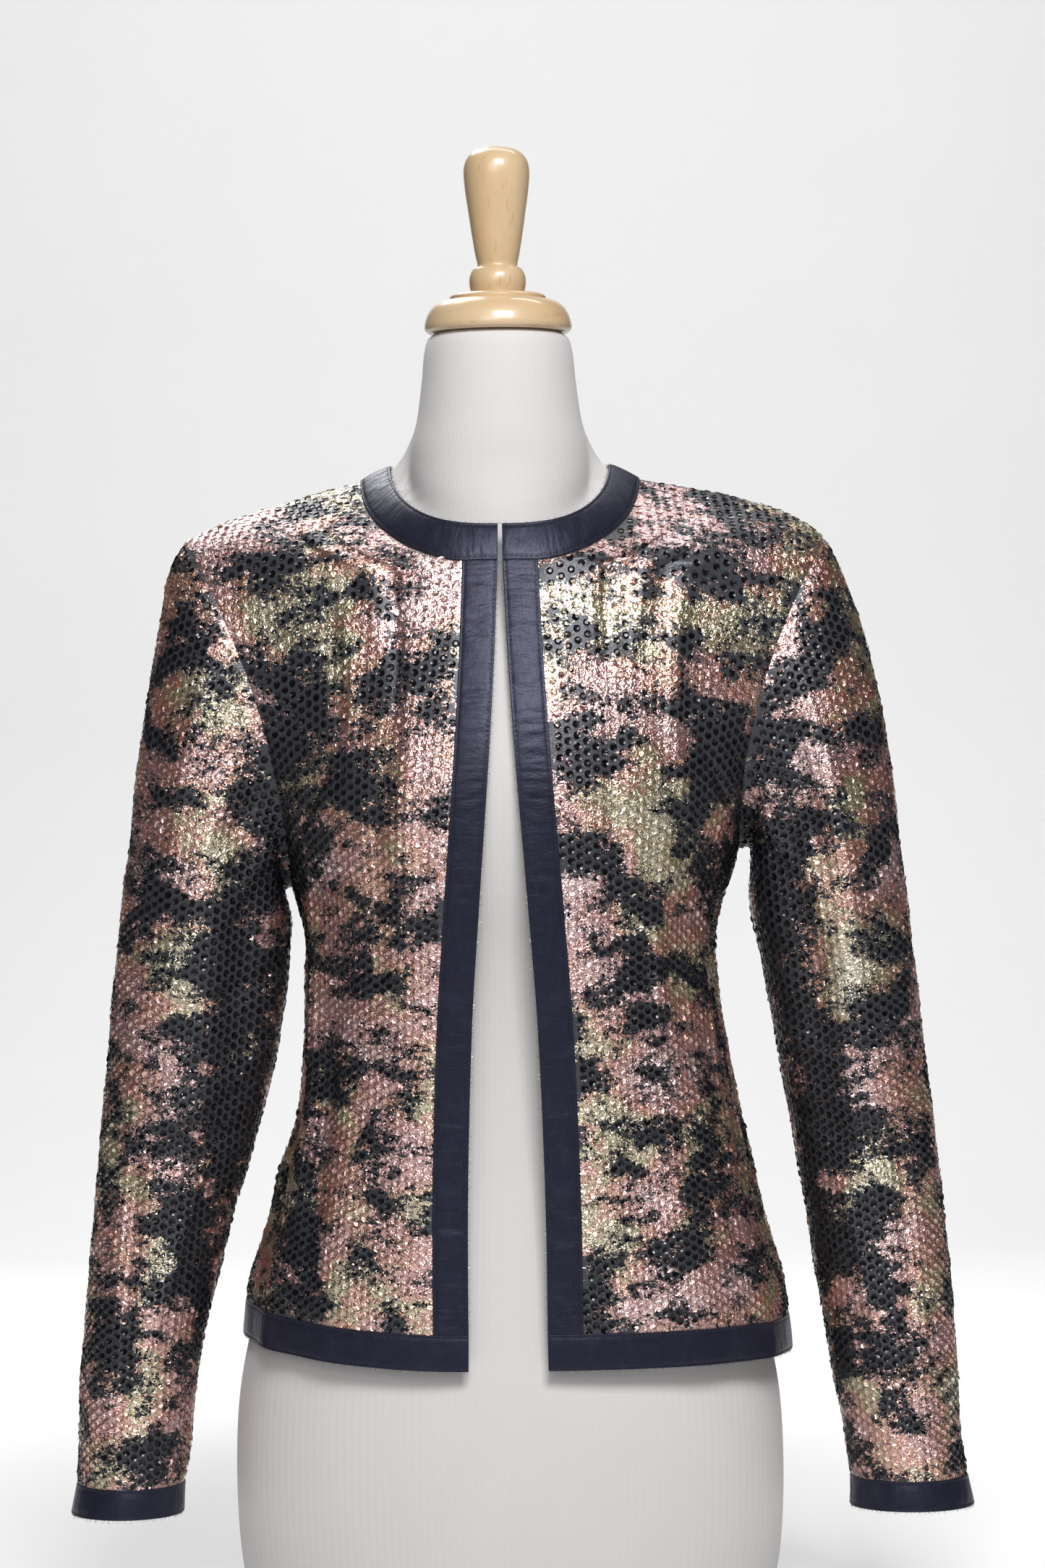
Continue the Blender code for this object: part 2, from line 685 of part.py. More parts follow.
def seam_shifts(name, pieces):
    """How far each place of a piece is drawn back from the seams that it shares with other pieces."""
    others = set()
    for other, quads in pieces.items():
        if other != name:
            others |= {frozenset(ends) for ends in free_edges(quads)}
    ways = {}
    for ends, inward in free_edges(pieces[name]).items():
        if frozenset(ends) in others:
            for place in ends:
                ways.setdefault(place, []).append(inward)
    shifts = {}
    for place, inwards in ways.items():
        total = sum(inwards, Vector())
        spread = 1.0 if len(inwards) == 1 else 1 + inwards[0].dot(inwards[-1])
        shifts[place] = total / max(spread, 0.5) * SEAM_GAP / 2
    return shifts


def add_wall(name, pieces, normals, wall, rise, finish):
    """A closed cloth wall: the piece's points moved out by its rise, and the same points moved in by the wall."""
    shifts = seam_shifts(name, pieces)
    mesh = bmesh.new()
    outer, inner = {}, {}
    for quad in pieces[name]:
        for point in quad:
            place = place_of(point)
            if place not in outer:
                seat = point + shifts.get(place, Vector())
                outer[place] = mesh.verts.new(placed(seat + normals[place] * rise))
                inner[place] = mesh.verts.new(placed(seat + normals[place] * (rise - wall)))
        for corners in halves_of(quad):
            places = [place_of(point) for point in corners]
            mesh.faces.new([outer[place] for place in places])
            mesh.faces.new([inner[place] for place in reversed(places)])
    for a, b in free_edges(pieces[name]):
        low, high = min(a, b), max(a, b)
        third = inner[b] if low == a else inner[a]
        mesh.faces.new((outer[b], outer[a], third))
        mesh.faces.new((outer[low], inner[a], inner[b]))
    add_object(name, mesh, finish)


def add_object(name, mesh, finish):
    data = bpy.data.meshes.new(name)
    mesh.to_mesh(data)
    mesh.free()
    data.shade_smooth()
    data.materials.append(material(finish))
    obj = bpy.data.objects.new(name, data)
    collection().objects.link(obj)
    return obj


def collection():
    name = "sequin_jacket"
    found = bpy.data.collections.get(name)
    if found is None:
        found = bpy.data.collections.new(name)
        bpy.context.scene.collection.children.link(found)
    return found


def material(name):
    found = bpy.data.materials.get(name)
    if found is None:
        colour, roughness, metallic = FINISHES[name]
        found = bpy.data.materials.new(name)
        found.use_nodes = True
        shader = found.node_tree.nodes["Principled BSDF"]
        shader.inputs["Base Color"].default_value = colour
        shader.inputs["Roughness"].default_value = roughness
        shader.inputs["Metallic"].default_value = metallic
    return found


def add_jacket():
    """All cloth pieces. Their quads come first, because pieces that meet share the normals of their seams."""
    pieces = {"back": [], "hem_band": [], "neck_band": []}
    for side in SIDES:
        flip = side == "right"
        panel, band, front_hem = front_grids(side)
        back, back_hem = back_half(side)
        arm, cuff = sleeve_grids(side)
        pieces["front_" + side] = quads_of(panel, flip=flip)
        pieces["front_band_" + side] = quads_of(band, flip=flip)
        pieces["back"] += quads_of(back, flip=not flip)
        pieces["neck_band"] += quads_of(neck_half(side), flip=flip)
        pieces["hem_band"] += quads_of(front_hem, flip=flip) + quads_of(back_hem, flip=not flip)
        pieces["sleeve_" + side] = quads_of(arm, ring=True, flip=flip)
        pieces["cuff_band_" + side] = quads_of(cuff, ring=True, flip=flip)
    normals = normals_of(pieces)
    for name in pieces:
        if "band" in name:
            add_wall(name, pieces, normals, BAND_WALL, BAND_RISE, "satin")
        else:
            add_wall(name, pieces, normals, CLOTH_WALL, 0.0, "sequin_cloth")


def reach(half, depth, roundness, across, ahead):
    """How far a rounded oval reaches from its middle in the direction (across, ahead)."""
    share = (abs(across) / half) ** roundness + (abs(ahead) / depth) ** roundness
    return share ** (-1 / roundness)


def form_ring(height):
    """One level of the form: the oval of its shoulders or body, blended with the oval of its neck."""
    size = {name: read_table(FORM_COLUMNS, FORM_SECTIONS, name, height) for name in FORM_COLUMNS[1:]}
    points = []
    for i in range(FORM_SIDES):
        turn = 2 * math.pi * i / FORM_SIDES
        across, ahead = math.sin(turn), -math.cos(turn)
        face = "front" if ahead < 0 else "back"
        body = reach(size["half"], size[face], FORM_ROUNDNESS, across, ahead)
        neck = reach(size["neck_half"], size["neck_" + face], 2, across, ahead)
        far = (body**FORM_BLEND + neck**FORM_BLEND) ** (1 / FORM_BLEND)
        points.append(Vector((far * across, size["middle"] + far * ahead, height)))
    return points


def add_form():
    """The padded torso and neck, one solid on a flat base."""
    mesh = bmesh.new()
    rings = [[mesh.verts.new(placed(point)) for point in form_ring(row[0])] for row in FORM_SECTIONS]
    for low, high in zip(rings, rings[1:]):
        for i in range(FORM_SIDES):
            k = (i + 1) % FORM_SIDES
            mesh.faces.new((low[i], low[k], high[k], high[i]))
    mesh.faces.new(list(reversed(rings[0])))
    mesh.faces.new(rings[-1])
    bmesh.ops.recalc_face_normals(mesh, faces=mesh.faces)
    add_object("form_body", mesh, "jersey")


def add_turned(name, profile, finish):
    """A turned solid: its profile from the axis at the top, down the outside, to the axis at the foot."""
    line = [(0.0, profile[0][1])] + list(profile) + [(0.0, profile[-1][1])]
    data = bpy.data.meshes.new(name)
    points = [Vector((radius, 0, height)) * METRES for radius, height in line]
    data.from_pydata(points, [(i, i + 1) for i in range(len(points) - 1)], [])
    data.materials.append(material(finish))
    obj = bpy.data.objects.new(name, data)
    obj.location = placed(Vector())
    collection().objects.link(obj)
    screw = obj.modifiers.new("turned", "SCREW")
    screw.axis = "Z"
    screw.steps = TURNED_SIDES
    screw.render_steps = TURNED_SIDES
    screw.use_merge_vertices = True
    screw.merge_threshold = 0.00001
    screw.use_smooth_shade = True
    return obj


clear_scene()
add_jacket()
add_form()
add_turned("neck_cap", CAP_PROFILE, "beech")
add_turned("cap_handle", HANDLE_PROFILE, "beech")
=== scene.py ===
"""Looks of the sequin jacket and its dress form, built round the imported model.

The sizes are in millimetres from the form's own axis, as in the part's source. A mesh gets them in metres
from the part's origin. The front faces -Y, the wearer's left is +X and up is +Z.
"""

import math

import bpy
import numpy as np
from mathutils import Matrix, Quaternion, Vector, noise
from mathutils.bvhtree import BVHTree
from mathutils.geometry import barycentric_transform


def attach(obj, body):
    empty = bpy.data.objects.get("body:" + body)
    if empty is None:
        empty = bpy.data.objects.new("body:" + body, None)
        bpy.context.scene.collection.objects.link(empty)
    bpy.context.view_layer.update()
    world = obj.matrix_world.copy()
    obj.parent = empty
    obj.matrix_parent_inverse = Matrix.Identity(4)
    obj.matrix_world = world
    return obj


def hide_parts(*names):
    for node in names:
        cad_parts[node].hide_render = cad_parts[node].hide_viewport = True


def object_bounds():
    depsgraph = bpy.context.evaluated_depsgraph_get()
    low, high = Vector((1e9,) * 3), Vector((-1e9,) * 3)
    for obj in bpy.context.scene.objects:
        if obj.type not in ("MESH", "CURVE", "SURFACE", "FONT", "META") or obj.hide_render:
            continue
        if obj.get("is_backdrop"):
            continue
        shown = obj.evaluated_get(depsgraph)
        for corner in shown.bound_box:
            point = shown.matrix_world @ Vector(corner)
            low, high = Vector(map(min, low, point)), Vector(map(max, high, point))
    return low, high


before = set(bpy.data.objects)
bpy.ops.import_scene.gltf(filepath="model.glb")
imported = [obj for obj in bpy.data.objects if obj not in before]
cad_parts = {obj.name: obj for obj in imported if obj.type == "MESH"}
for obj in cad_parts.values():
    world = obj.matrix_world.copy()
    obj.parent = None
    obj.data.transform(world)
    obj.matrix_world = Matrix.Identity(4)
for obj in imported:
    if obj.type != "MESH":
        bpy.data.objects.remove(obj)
CAD_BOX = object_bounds()

METRES = 0.001
ORIGIN = Vector((7.73, 1.3, 0.0))

# Satin bands: how far they stand out from the cloth, and their widths
BAND_RISE = 0.4
BAND_WIDTH = 22.0
CUFF_WIDTH = 18.5

# The worn torso: a level, the half widths to the two side seams, and the depths to the front and back edges
TORSO_COLUMNS = ("height", "right", "left", "front", "back")
TORSO_SECTIONS = (
    (168, 170.0, 181.0, 125.0, 130.0),
    (192, 168.5, 178.0, 124.5, 127.0),
    (217, 164.0, 174.0, 123.0, 122.0),
    (250, 153.0, 164.5, 121.5, 115.0),
    (282, 144.5, 157.0, 120.5, 108.0),
    (314, 134.5, 150.5, 120.0, 102.0),
    (346, 129.0, 143.5, 120.0, 98.0),
    (378, 127.5, 138.0, 120.5, 96.0),
    (410, 127.0, 134.5, 121.5, 97.0),
    (443, 127.5, 135.5, 123.0, 100.0),
    (480, 138.0, 147.0, 124.0, 105.0),
    (530, 150.0, 156.0, 122.0, 109.0),
    (565, 156.0, 160.0, 115.5, 110.0),
    (600, 160.0, 164.0, 104.5, 109.0),
    (640, 164.0, 168.0, 89.5, 102.0),
    (668, 166.0, 170.0, 78.5, 90.5),
    (702, 168.0, 172.0, 64.0, 73.0),
)

# Half the gap between the two front edges
OPENING_COLUMNS = ("height", "gap")
OPENING_SECTIONS = (
    (168, 24.2),
    (274, 23.6),
    (380, 20.0),
    (460, 14.4),
    (540, 8.4),
    (600, 4.6),
    (640, 2.7),
    (668, 1.6),
    (691, 1.3),
)

# Each side: its sign on X, shoulder point and armpit as (x, z), the shoulder seam's two handles, and the
# hem's height at the side seam
SIDES = {
    "right": {
        "sign": -1,
        "shoulder": (200, 685),
        "armpit": (134.5, 464),
        "seam_handles": ((130, 712), (180, 696)),
        "side_hem": 204,
    },
    "left": {
        "sign": 1,
        "shoulder": (206.5, 682.5),
        "armpit": (149, 487),
        "seam_handles": ((131, 714), (188, 702)),
        "side_hem": 191,
    },
}
CENTRE_HEM = 192
SIDE_SEAM_Y = 5.0
SHOULDER_Y = 4.0
ARMPIT_Y = 3.0

# Neckline: half width, fullness (1 is an ellipse, less is squarer), shoulder height and depth, and the
# centre front and centre back as (y, z), at the band's two edges
NECK_EDGE = {
    "half": 69.7,
    "fullness": 0.72,
    "top": 732.0,
    "top_y": 6.0,
    "front": (-68.5, 691.0),
    "back": (62.5, 722.0),
}
NECK_SEAM = {
    "half": 89.0,
    "fullness": 0.85,
    "top": 722.5,
    "top_y": 5.0,
    "front": (-78.5, 668.0),
    "back": (73.0, 702.0),
}

# Armhole: half depth front to back, and how far its front and back bow in towards the chest
ARMHOLE_HALF_DEPTH = 54.0
ARMHOLE_BOW_FRONT = 15.0
ARMHOLE_BOW_BACK = 7.0

# The curve across half a panel: how long its two handles are, as shares of its reach or depth below the
# chest, and as shares of its chord at the shoulder seam
FLAT_HANDLE = 0.56
SIDE_HANDLE = 0.60
SEAM_START_HANDLE = 0.36
SEAM_END_HANDLE = 0.30
CURVE_SAMPLES = 160

# How far below the armpit the side seam runs into it, and how many degrees from the front band the neck
# seam takes to come back to its own curve
ARMPIT_BLEND = 40
CORNER_FADE = 40

# Panel grid: steps from hem to armpit, up the armhole, round the neck, and across half the body
SKIRT_STEPS = 10
CHEST_STEPS = 8
NECK_STEPS = 5
PANEL_STEPS = 11
CHEST_START = 505.0
UPPER_ARMHOLE = {"front": 62.0, "back": 44.0}

# The sleeves: a level, the outer and inner outlines of each, half the depth, and how far the middle lies
# back
SLEEVE_COLUMNS = ("height", "right_out", "right_in", "left_out", "left_in", "depth", "back")
SLEEVE_SECTIONS = (
    (73, 276.5, 206.0, 292.0, 214.0, 41.0, -28.5),
    (92, 273.0, 205.0, 288.0, 214.5, 41.0, -25.5),
    (121, 271.5, 201.0, 283.5, 211.5, 42.0, -22.0),
    (153, 270.5, 198.0, 282.5, 205.5, 43.0, -18.0),
    (185, 268.0, 192.0, 281.0, 200.0, 44.5, -14.0),
    (217, 265.5, 184.0, 279.5, 195.0, 46.0, -10.0),
    (250, 263.0, 176.5, 277.0, 190.5, 48.0, -6.0),
    (282, 260.0, 167.0, 274.5, 186.0, 50.0, -3.0),
    (314, 257.0, 157.0, 270.5, 181.0, 52.0, 0.0),
    (346, 254.0, 149.0, 267.0, 175.0, 54.0, 2.0),
    (379, 251.0, 142.5, 263.5, 170.0, 55.5, 3.0),
    (411, 248.0, 138.0, 260.5, 164.5, 56.5, 3.0),
    (443, 244.0, 135.8, 257.0, 158.0, 57.5, 3.0),
    (458, 242.2, 139.5, 255.2, 156.5, 58.0, 3.0),
    (475, 240.2, 143.0, 253.5, 157.5, 58.0, 3.0),
    (507, 236.3, 145.0, 250.0, 159.0, 58.0, 3.0),
    (540, 232.3, 146.0, 246.0, 159.5, 58.0, 3.0),
    (572, 227.5, 147.0, 241.5, 160.0, 57.0, 3.0),
    (604, 222.0, 148.0, 235.0, 160.5, 56.0, 3.0),
    (636, 216.0, 150.0, 226.0, 161.0, 55.0, 3.0),
    (652, 213.3, 151.0, 220.0, 161.5, 54.5, 3.0),
    (668, 209.5, 152.0, 213.5, 162.0, 54.0, 3.0),
    (685, 200.0, 153.0, 205.5, 163.0, 54.0, 3.0),
)
# Where each ring of the sleeve's cap stands: on its outer and its inner outline, as shares of the cap's
# height
CAP_RINGS = (
    (0.0, 0.0),
    (0.07, 0.03),
    (0.18, 0.13),
    (0.32, 0.29),
    (0.48, 0.44),
    (0.65, 0.61),
    (0.82, 0.80),
    (1.0, 1.0),
)
CAP_END = 436.0
ARM_STEPS = 11
CUFF_TOP = 91.5

# Folds: a piece, the fold's middle at its foot and head, its half width, the heights it runs between, and
# how far it stands out, or in below zero. On a panel the middle and width are shares of the way to the side
# seam. On a sleeve they are degrees round it: 0 outer, 90 front, 180 inner.
FOLDS = (
    ("front_right", 0.60, 0.68, 0.09, 150, 470, 5.0),
    ("front_right", 0.76, 0.86, 0.08, 190, 470, -4.5),
    ("front_right", 0.34, 0.40, 0.10, 150, 400, 2.5),
    ("front_right", 0.56, 0.50, 0.05, 560, 740, -2.5),
    ("front_left", 0.66, 0.66, 0.09, 150, 450, 4.5),
    ("front_left", 0.84, 0.84, 0.08, 200, 470, -4.5),
    ("front_left", 0.36, 0.42, 0.10, 150, 420, 2.5),
    ("front_left", 0.38, 0.34, 0.06, 580, 735, -2.2),
    ("back_right", 0.45, 0.35, 0.12, 150, 520, 3.0),
    ("back_right", 0.72, 0.64, 0.10, 200, 500, -3.5),
    ("back_left", 0.50, 0.38, 0.12, 150, 520, 3.0),
    ("back_left", 0.76, 0.66, 0.10, 200, 500, -3.5),
    ("sleeve_right", 128, 112, 20, 250, 640, -6.0),
    ("sleeve_right", 96, 84, 18, 300, 600, 3.5),
    ("sleeve_right", 240, 256, 24, 230, 560, -5.0),
    ("sleeve_left", 122, 108, 20, 260, 650, -6.0),
    ("sleeve_left", 88, 78, 18, 300, 610, 3.5),
    ("sleeve_left", 236, 250, 24, 230, 560, -5.0),
)
FOLD_END = 0.7
FOLD_FADE = 0.12

# The dress form: a level, how far back its middle lies, and two ovals that are blended: the body's half
# width, front and back depths, and the neck's
FORM_COLUMNS = ("height", "middle", "half", "front", "back", "neck_half", "neck_front", "neck_back")
FORM_SECTIONS = (
    (0, 0.0, 150.0, 98.0, 102.0, 40.0, 38.0, 38.0),
    (4, 0.0, 157.5, 105.0, 109.0, 40.0, 38.0, 38.0),
    (14, 0.0, 164.0, 110.5, 114.5, 40.0, 38.0, 38.0),
    (36, 0.0, 170.0, 115.0, 119.0, 40.0, 38.0, 38.0),
    (72, 0.0, 173.2, 118.0, 122.0, 40.0, 38.0, 38.0),
    (110, 0.0, 173.5, 119.0, 123.0, 40.0, 38.0, 38.0),
    (140, 0.0, 171.8, 118.5, 121.5, 40.0, 38.0, 38.0),
    (165, 0.0, 168.0, 117.0, 119.0, 40.0, 38.0, 38.0),
    (190, 0.0, 162.0, 114.5, 114.0, 40.0, 38.0, 38.0),
    (220, 0.0, 152.5, 111.0, 106.5, 40.0, 38.0, 38.0),
    (255, 0.0, 139.0, 106.0, 97.0, 40.0, 38.0, 38.0),
    (300, 0.0, 125.0, 100.0, 87.0, 40.0, 38.0, 38.0),
    (345, 0.0, 116.0, 96.5, 80.0, 40.0, 38.0, 38.0),
    (385, 0.0, 113.0, 96.0, 78.0, 40.0, 38.0, 38.0),
    (425, 0.0, 115.0, 99.5, 81.0, 40.0, 38.0, 38.0),
    (465, 0.0, 124.0, 108.0, 88.0, 40.0, 38.0, 38.0),
    (505, 0.0, 132.0, 113.5, 94.0, 40.0, 38.0, 38.0),
    (535, 0.0, 137.0, 113.5, 98.5, 40.0, 38.0, 38.0),
    (565, 0.5, 140.0, 107.5, 101.0, 40.0, 38.0, 38.0),
    (600, 1.5, 146.0, 97.0, 98.0, 42.0, 40.0, 40.0),
    (630, 3.0, 155.0, 84.5, 91.0, 45.0, 43.0, 43.0),
    (650, 4.5, 162.0, 74.5, 82.0, 48.0, 48.0, 46.0),
    (664, 5.5, 165.5, 66.5, 74.5, 51.0, 54.0, 50.0),
    (676, 6.0, 167.0, 56.0, 67.0, 53.0, 60.0, 51.0),
    (685, 6.5, 166.5, 46.5, 61.0, 54.5, 61.5, 50.0),
    (691, 6.5, 163.5, 38.0, 56.5, 55.5, 61.0, 49.0),
    (696, 6.5, 157.5, 31.0, 52.0, 56.0, 59.8, 48.5),
    (700.5, 6.5, 149.0, 24.0, 45.5, 56.5, 58.5, 48.0),
    (705, 6.5, 136.0, 17.5, 38.0, 57.0, 57.0, 47.5),
    (709, 6.0, 123.0, 13.5, 31.0, 57.3, 55.5, 47.5),
    (713, 6.0, 109.0, 10.5, 25.0, 57.5, 54.6, 47.3),
    (717, 5.5, 95.0, 8.5, 20.0, 57.6, 53.5, 47.3),
    (722, 5.0, 79.0, 8.0, 16.0, 57.6, 52.5, 47.3),
    (728, 4.5, 68.5, 8.0, 13.0, 57.5, 51.4, 47.8),
    (736, 3.5, 59.5, 8.0, 10.0, 57.0, 50.4, 48.2),
    (746, 1.8, 50.0, 8.0, 9.0, 55.5, 49.3, 48.8),
    (760, 0.6, 35.0, 8.0, 8.0, 52.3, 48.0, 49.3),
    (785, 0.0, 30.0, 8.0, 8.0, 48.9, 46.8, 48.2),
    (803, 0.0, 30.0, 8.0, 8.0, 47.2, 45.4, 46.4),
    (811.7, 0.0, 30.0, 8.0, 8.0, 44.6, 43.4, 44.0),
    (815.2, 0.0, 30.0, 8.0, 8.0, 40.5, 39.5, 40.0),
)
FORM_ROUNDNESS = 2.1
FORM_BLEND = 10
FORM_EDGES = {4.0, 9.0, 14.0, 808.0, 811.7}

# Turned wood on the form's neck: (radius, height) down the outside of each piece
CAP_PROFILE = (
    (24.0, 840.4),
    (28.5, 839.8),
    (30.6, 838.2),
    (31.0, 836.4),
    (37.0, 835.2),
    (42.0, 831.6),
    (45.2, 826.4),
    (46.8, 820.6),
    (46.5, 817.4),
    (44.5, 815.5),
)
HANDLE_PROFILE = (
    (8.0, 933.4),
    (13.5, 931.6),
    (17.6, 928.4),
    (20.2, 923.6),
    (21.1, 917.0),
    (20.2, 906.0),
    (18.2, 892.0),
    (16.2, 878.0),
    (14.2, 866.0),
    (12.8, 858.2),
    (15.4, 856.2),
    (17.4, 852.6),
    (18.1, 848.4),
    (17.7, 844.2),
    (16.6, 840.7),
)

# How much finer the grids are here than the solids' own
CLOTH_FINE = 4
BAND_FINE = 14
HEM_FINE = 8
NECK_FINE = 8
NECK_CORNER_STEPS = 8
FORM_LEVEL = 7.0
FORM_ROUND = 108
TURNED_ROUND = 96
TURNED_FINE = 4
BACKDROP_FINE = 12

# Corners sharper than these, in degrees, stay sharp or get rounded
SMOOTH_BELOW = 50
TURNED_SMOOTH_BELOW = 40
ROUNDED_ABOVE = 55

# Cloth as it is here: the net's thickness, the satin's and its edges' rounding, and how far a seam sinks
NET_WALL = 1.0
SATIN_WALL = 1.5
SATIN_ROUNDING = 0.35
SEAM_DIP = 0.7

# Slight waviness: how far it rises and how wide it is, broad and fine
UNEVENNESS = ((1.1, 34.0), (0.3, 11.0))

# The hem band flares a little towards its foot, and the neck band bulges forwards and up
HEM_FLARE = 0.012
NECK_BULGE = (0.4, 0.6)

# Creases: each a line on its piece, from one point (across, height) to another, its half width, and how far
# it stands out, or in below zero. Across is the share of a panel's way to the side seam, or degrees round a
# sleeve.
CREASES = (
    ("front_right", 0.30, 735, 0.27, 560, 4.5, -3.2),
    ("front_right", 0.36, 728, 0.36, 610, 5.0, 1.7),
    ("front_right", 0.46, 742, 0.44, 640, 4.5, -2.8),
    ("front_right", 0.55, 700, 0.47, 520, 7.0, 2.1),
    ("front_right", 0.20, 600, 0.14, 430, 8.0, 1.8),
    ("front_right", 0.30, 560, 0.24, 380, 9.0, -2.1),
    ("front_right", 0.68, 480, 0.55, 250, 6.0, 3.0),
    ("front_right", 0.80, 440, 0.70, 190, 5.0, -3.0),
    ("front_right", 0.50, 400, 0.45, 200, 8.0, -2.4),
    ("front_right", 0.90, 330, 0.86, 215, 4.5, 3.0),
    ("front_right", 0.95, 470, 0.62, 540, 6.0, -2.4),
    ("front_left", 0.28, 734, 0.26, 590, 4.5, -3.2),
    ("front_left", 0.42, 742, 0.37, 590, 5.0, 2.8),
    ("front_left", 0.50, 738, 0.47, 620, 4.0, -3.0),
    ("front_left", 0.58, 700, 0.52, 500, 7.0, 2.4),
    ("front_left", 0.22, 560, 0.18, 400, 8.0, -1.8),
    ("front_left", 0.40, 520, 0.34, 340, 8.0, 2.2),
    ("front_left", 0.72, 470, 0.66, 220, 5.5, -3.3),
    ("front_left", 0.80, 430, 0.78, 200, 5.0, 3.3),
    ("front_left", 0.52, 420, 0.50, 210, 8.0, 2.4),
    ("front_left", 0.92, 320, 0.88, 210, 4.5, -2.7),
    ("front_left", 0.95, 480, 0.66, 560, 6.0, -2.4),
    ("back_right", 0.20, 690, 0.18, 520, 7.0, -1.8),
    ("back_right", 0.55, 660, 0.42, 430, 9.0, 2.2),
    ("back_right", 0.80, 470, 0.62, 250, 6.0, 3.0),
    ("back_right", 0.92, 470, 0.55, 545, 6.0, -2.2),
    ("back_right", 0.30, 430, 0.30, 200, 9.0, -2.4),
    ("back_left", 0.24, 680, 0.20, 540, 7.0, 1.8),
    ("back_left", 0.60, 650, 0.45, 420, 9.0, -2.2),
    ("back_left", 0.84, 460, 0.66, 230, 6.0, 3.0),
    ("back_left", 0.93, 480, 0.58, 560, 6.0, -2.2),
    ("back_left", 0.36, 420, 0.34, 200, 9.0, 2.4),
    ("sleeve_right", 150, 590, 84, 470, 6.5, -3.1),
    ("sleeve_right", 158, 530, 96, 430, 5.5, 2.3),
    ("sleeve_right", 60, 640, 66, 430, 7.0, 2.1),
    ("sleeve_right", 34, 600, 40, 470, 6.0, -1.6),
    ("sleeve_right", 170, 420, 70, 380, 6.0, -2.3),
    ("sleeve_right", 165, 370, 84, 320, 5.5, 2.1),
    ("sleeve_right", 172, 320, 60, 300, 6.5, -2.3),
    ("sleeve_right", 120, 300, 96, 150, 6.0, 2.1),
    ("sleeve_right", 60, 330, 84, 130, 7.0, -2.1),
    ("sleeve_right", 110, 210, 30, 180, 6.0, 1.6),
    ("sleeve_right", 205, 560, 280, 450, 6.5, -2.6),
    ("sleeve_right", 195, 400, 300, 350, 6.0, 2.3),
    ("sleeve_right", 240, 330, 262, 140, 7.0, -2.3),
    ("sleeve_left", 150, 610, 88, 480, 6.5, -3.1),
    ("sleeve_left", 160, 540, 98, 450, 5.5, 2.3),
    ("sleeve_left", 96, 660, 92, 430, 5.5, -2.6),
    ("sleeve_left", 74, 640, 78, 420, 6.0, 2.6),
    ("sleeve_left", 40, 600, 48, 480, 6.0, -1.6),
    ("sleeve_left", 168, 430, 76, 400, 6.0, -2.3),
    ("sleeve_left", 162, 380, 88, 340, 5.5, 2.1),
    ("sleeve_left", 172, 330, 66, 290, 6.5, -2.3),
    ("sleeve_left", 118, 290, 100, 140, 6.0, 2.1),
    ("sleeve_left", 62, 320, 80, 140, 7.0, -2.1),
    ("sleeve_left", 205, 570, 284, 460, 6.5, -2.6),
    ("sleeve_left", 196, 410, 296, 350, 6.0, 2.3),
    ("sleeve_left", 240, 330, 264, 150, 7.0, -2.3),
)
CREASE_END = 0.6
CREASE_FADE = 0.05
CREASE_REACH = 3

# The millimetres in one unit of across, on a panel and on a sleeve
PANEL_SPAN = 190.0
SLEEVE_SPAN = 0.95

# Sequins in upright columns, every second column half a pitch lower
COLUMN_PITCH = 5.3
SEQUIN_PITCH = 6.4
SEQUIN_RADIUS = 2.4
SEQUIN_FLOOR = 1.15
SEQUIN_SEAT = 0.12
SEQUIN_CUP = 0.38
SEQUIN_SIDES = 8
SEQUIN_TILT = 0.10
SEQUIN_LOWEST = 0.05

# How far a sequin's middle stays from the cloth's edge, the ways in which that is tried, and what counts as
# on it
EDGE_ROOM = 1.9
EDGE_WAYS = (0.5, 2.1, 3.7, 5.2)
ON_CLOTH = 1e-6

# How far apart the pieces' flat cuts lie in metres, and their first random seed
CUT_SPACING = 0.9
SEQUIN_SEED = 11

# Satin bands: how far the stitch rows lie from an edge, their groove, and the stitches. A stitch's rings
# are each a share of its length from its middle, and whether the thread is thick there.
STITCH_INSET = 1.7
STITCH_GROOVE = 0.3
GROOVE_HALF_WIDTH = 0.55
STITCH_LENGTH = 2.3
STITCH_PITCH = 3.1
STITCH_RADIUS = 0.294
STITCH_LIFT = 0.05
STITCH_RINGS = ((-0.5, False), (-0.3, True), (0.3, True), (0.5, False))

# Puckers between the stitch rows: their size along the band and across it, how far they rise, how their
# strength comes and goes along it, and how they slant
PUCKER_SIZE = 4.2
PUCKER_ACROSS = 24.0
PUCKER_RISE = 0.8
PUCKER_FADE = 4.0
PUCKER_LEAST = 0.25
PUCKER_SWELL = 1.5
PUCKER_SWELL_SIZE = 38.0
PUCKER_SLANT = 0.35
PUCKER_SLANT_SIZE = 80.0

# Finer puckers beside the stitches, the rolled edge and the crown
FINE_PUCKER_SIZE = 1.89
FINE_PUCKER_ACROSS = 9.0
FINE_PUCKER_SHARE = 0.7
FINE_PUCKER_PLACE = 2.2
FINE_PUCKER_HALF_WIDTH = 2.0
EDGE_ROLL = 0.2
BAND_CROWN = 0.08

# The seeds of the bands' noise, and how far under their middle a band's outside is told from
BAND_SEED = 3.7
BAND_INSIDE_DROP = 60

# Where the points across a band lie, as shares of its width, and which of them its stitch rows follow
BAND_SHARES = (0, 0.025, 0.05, 0.077, 0.104, 0.18, 0.34, 0.5, 0.66, 0.82, 0.896, 0.923, 0.95, 0.975, 1)
STITCH_COLUMNS = (3, 11)

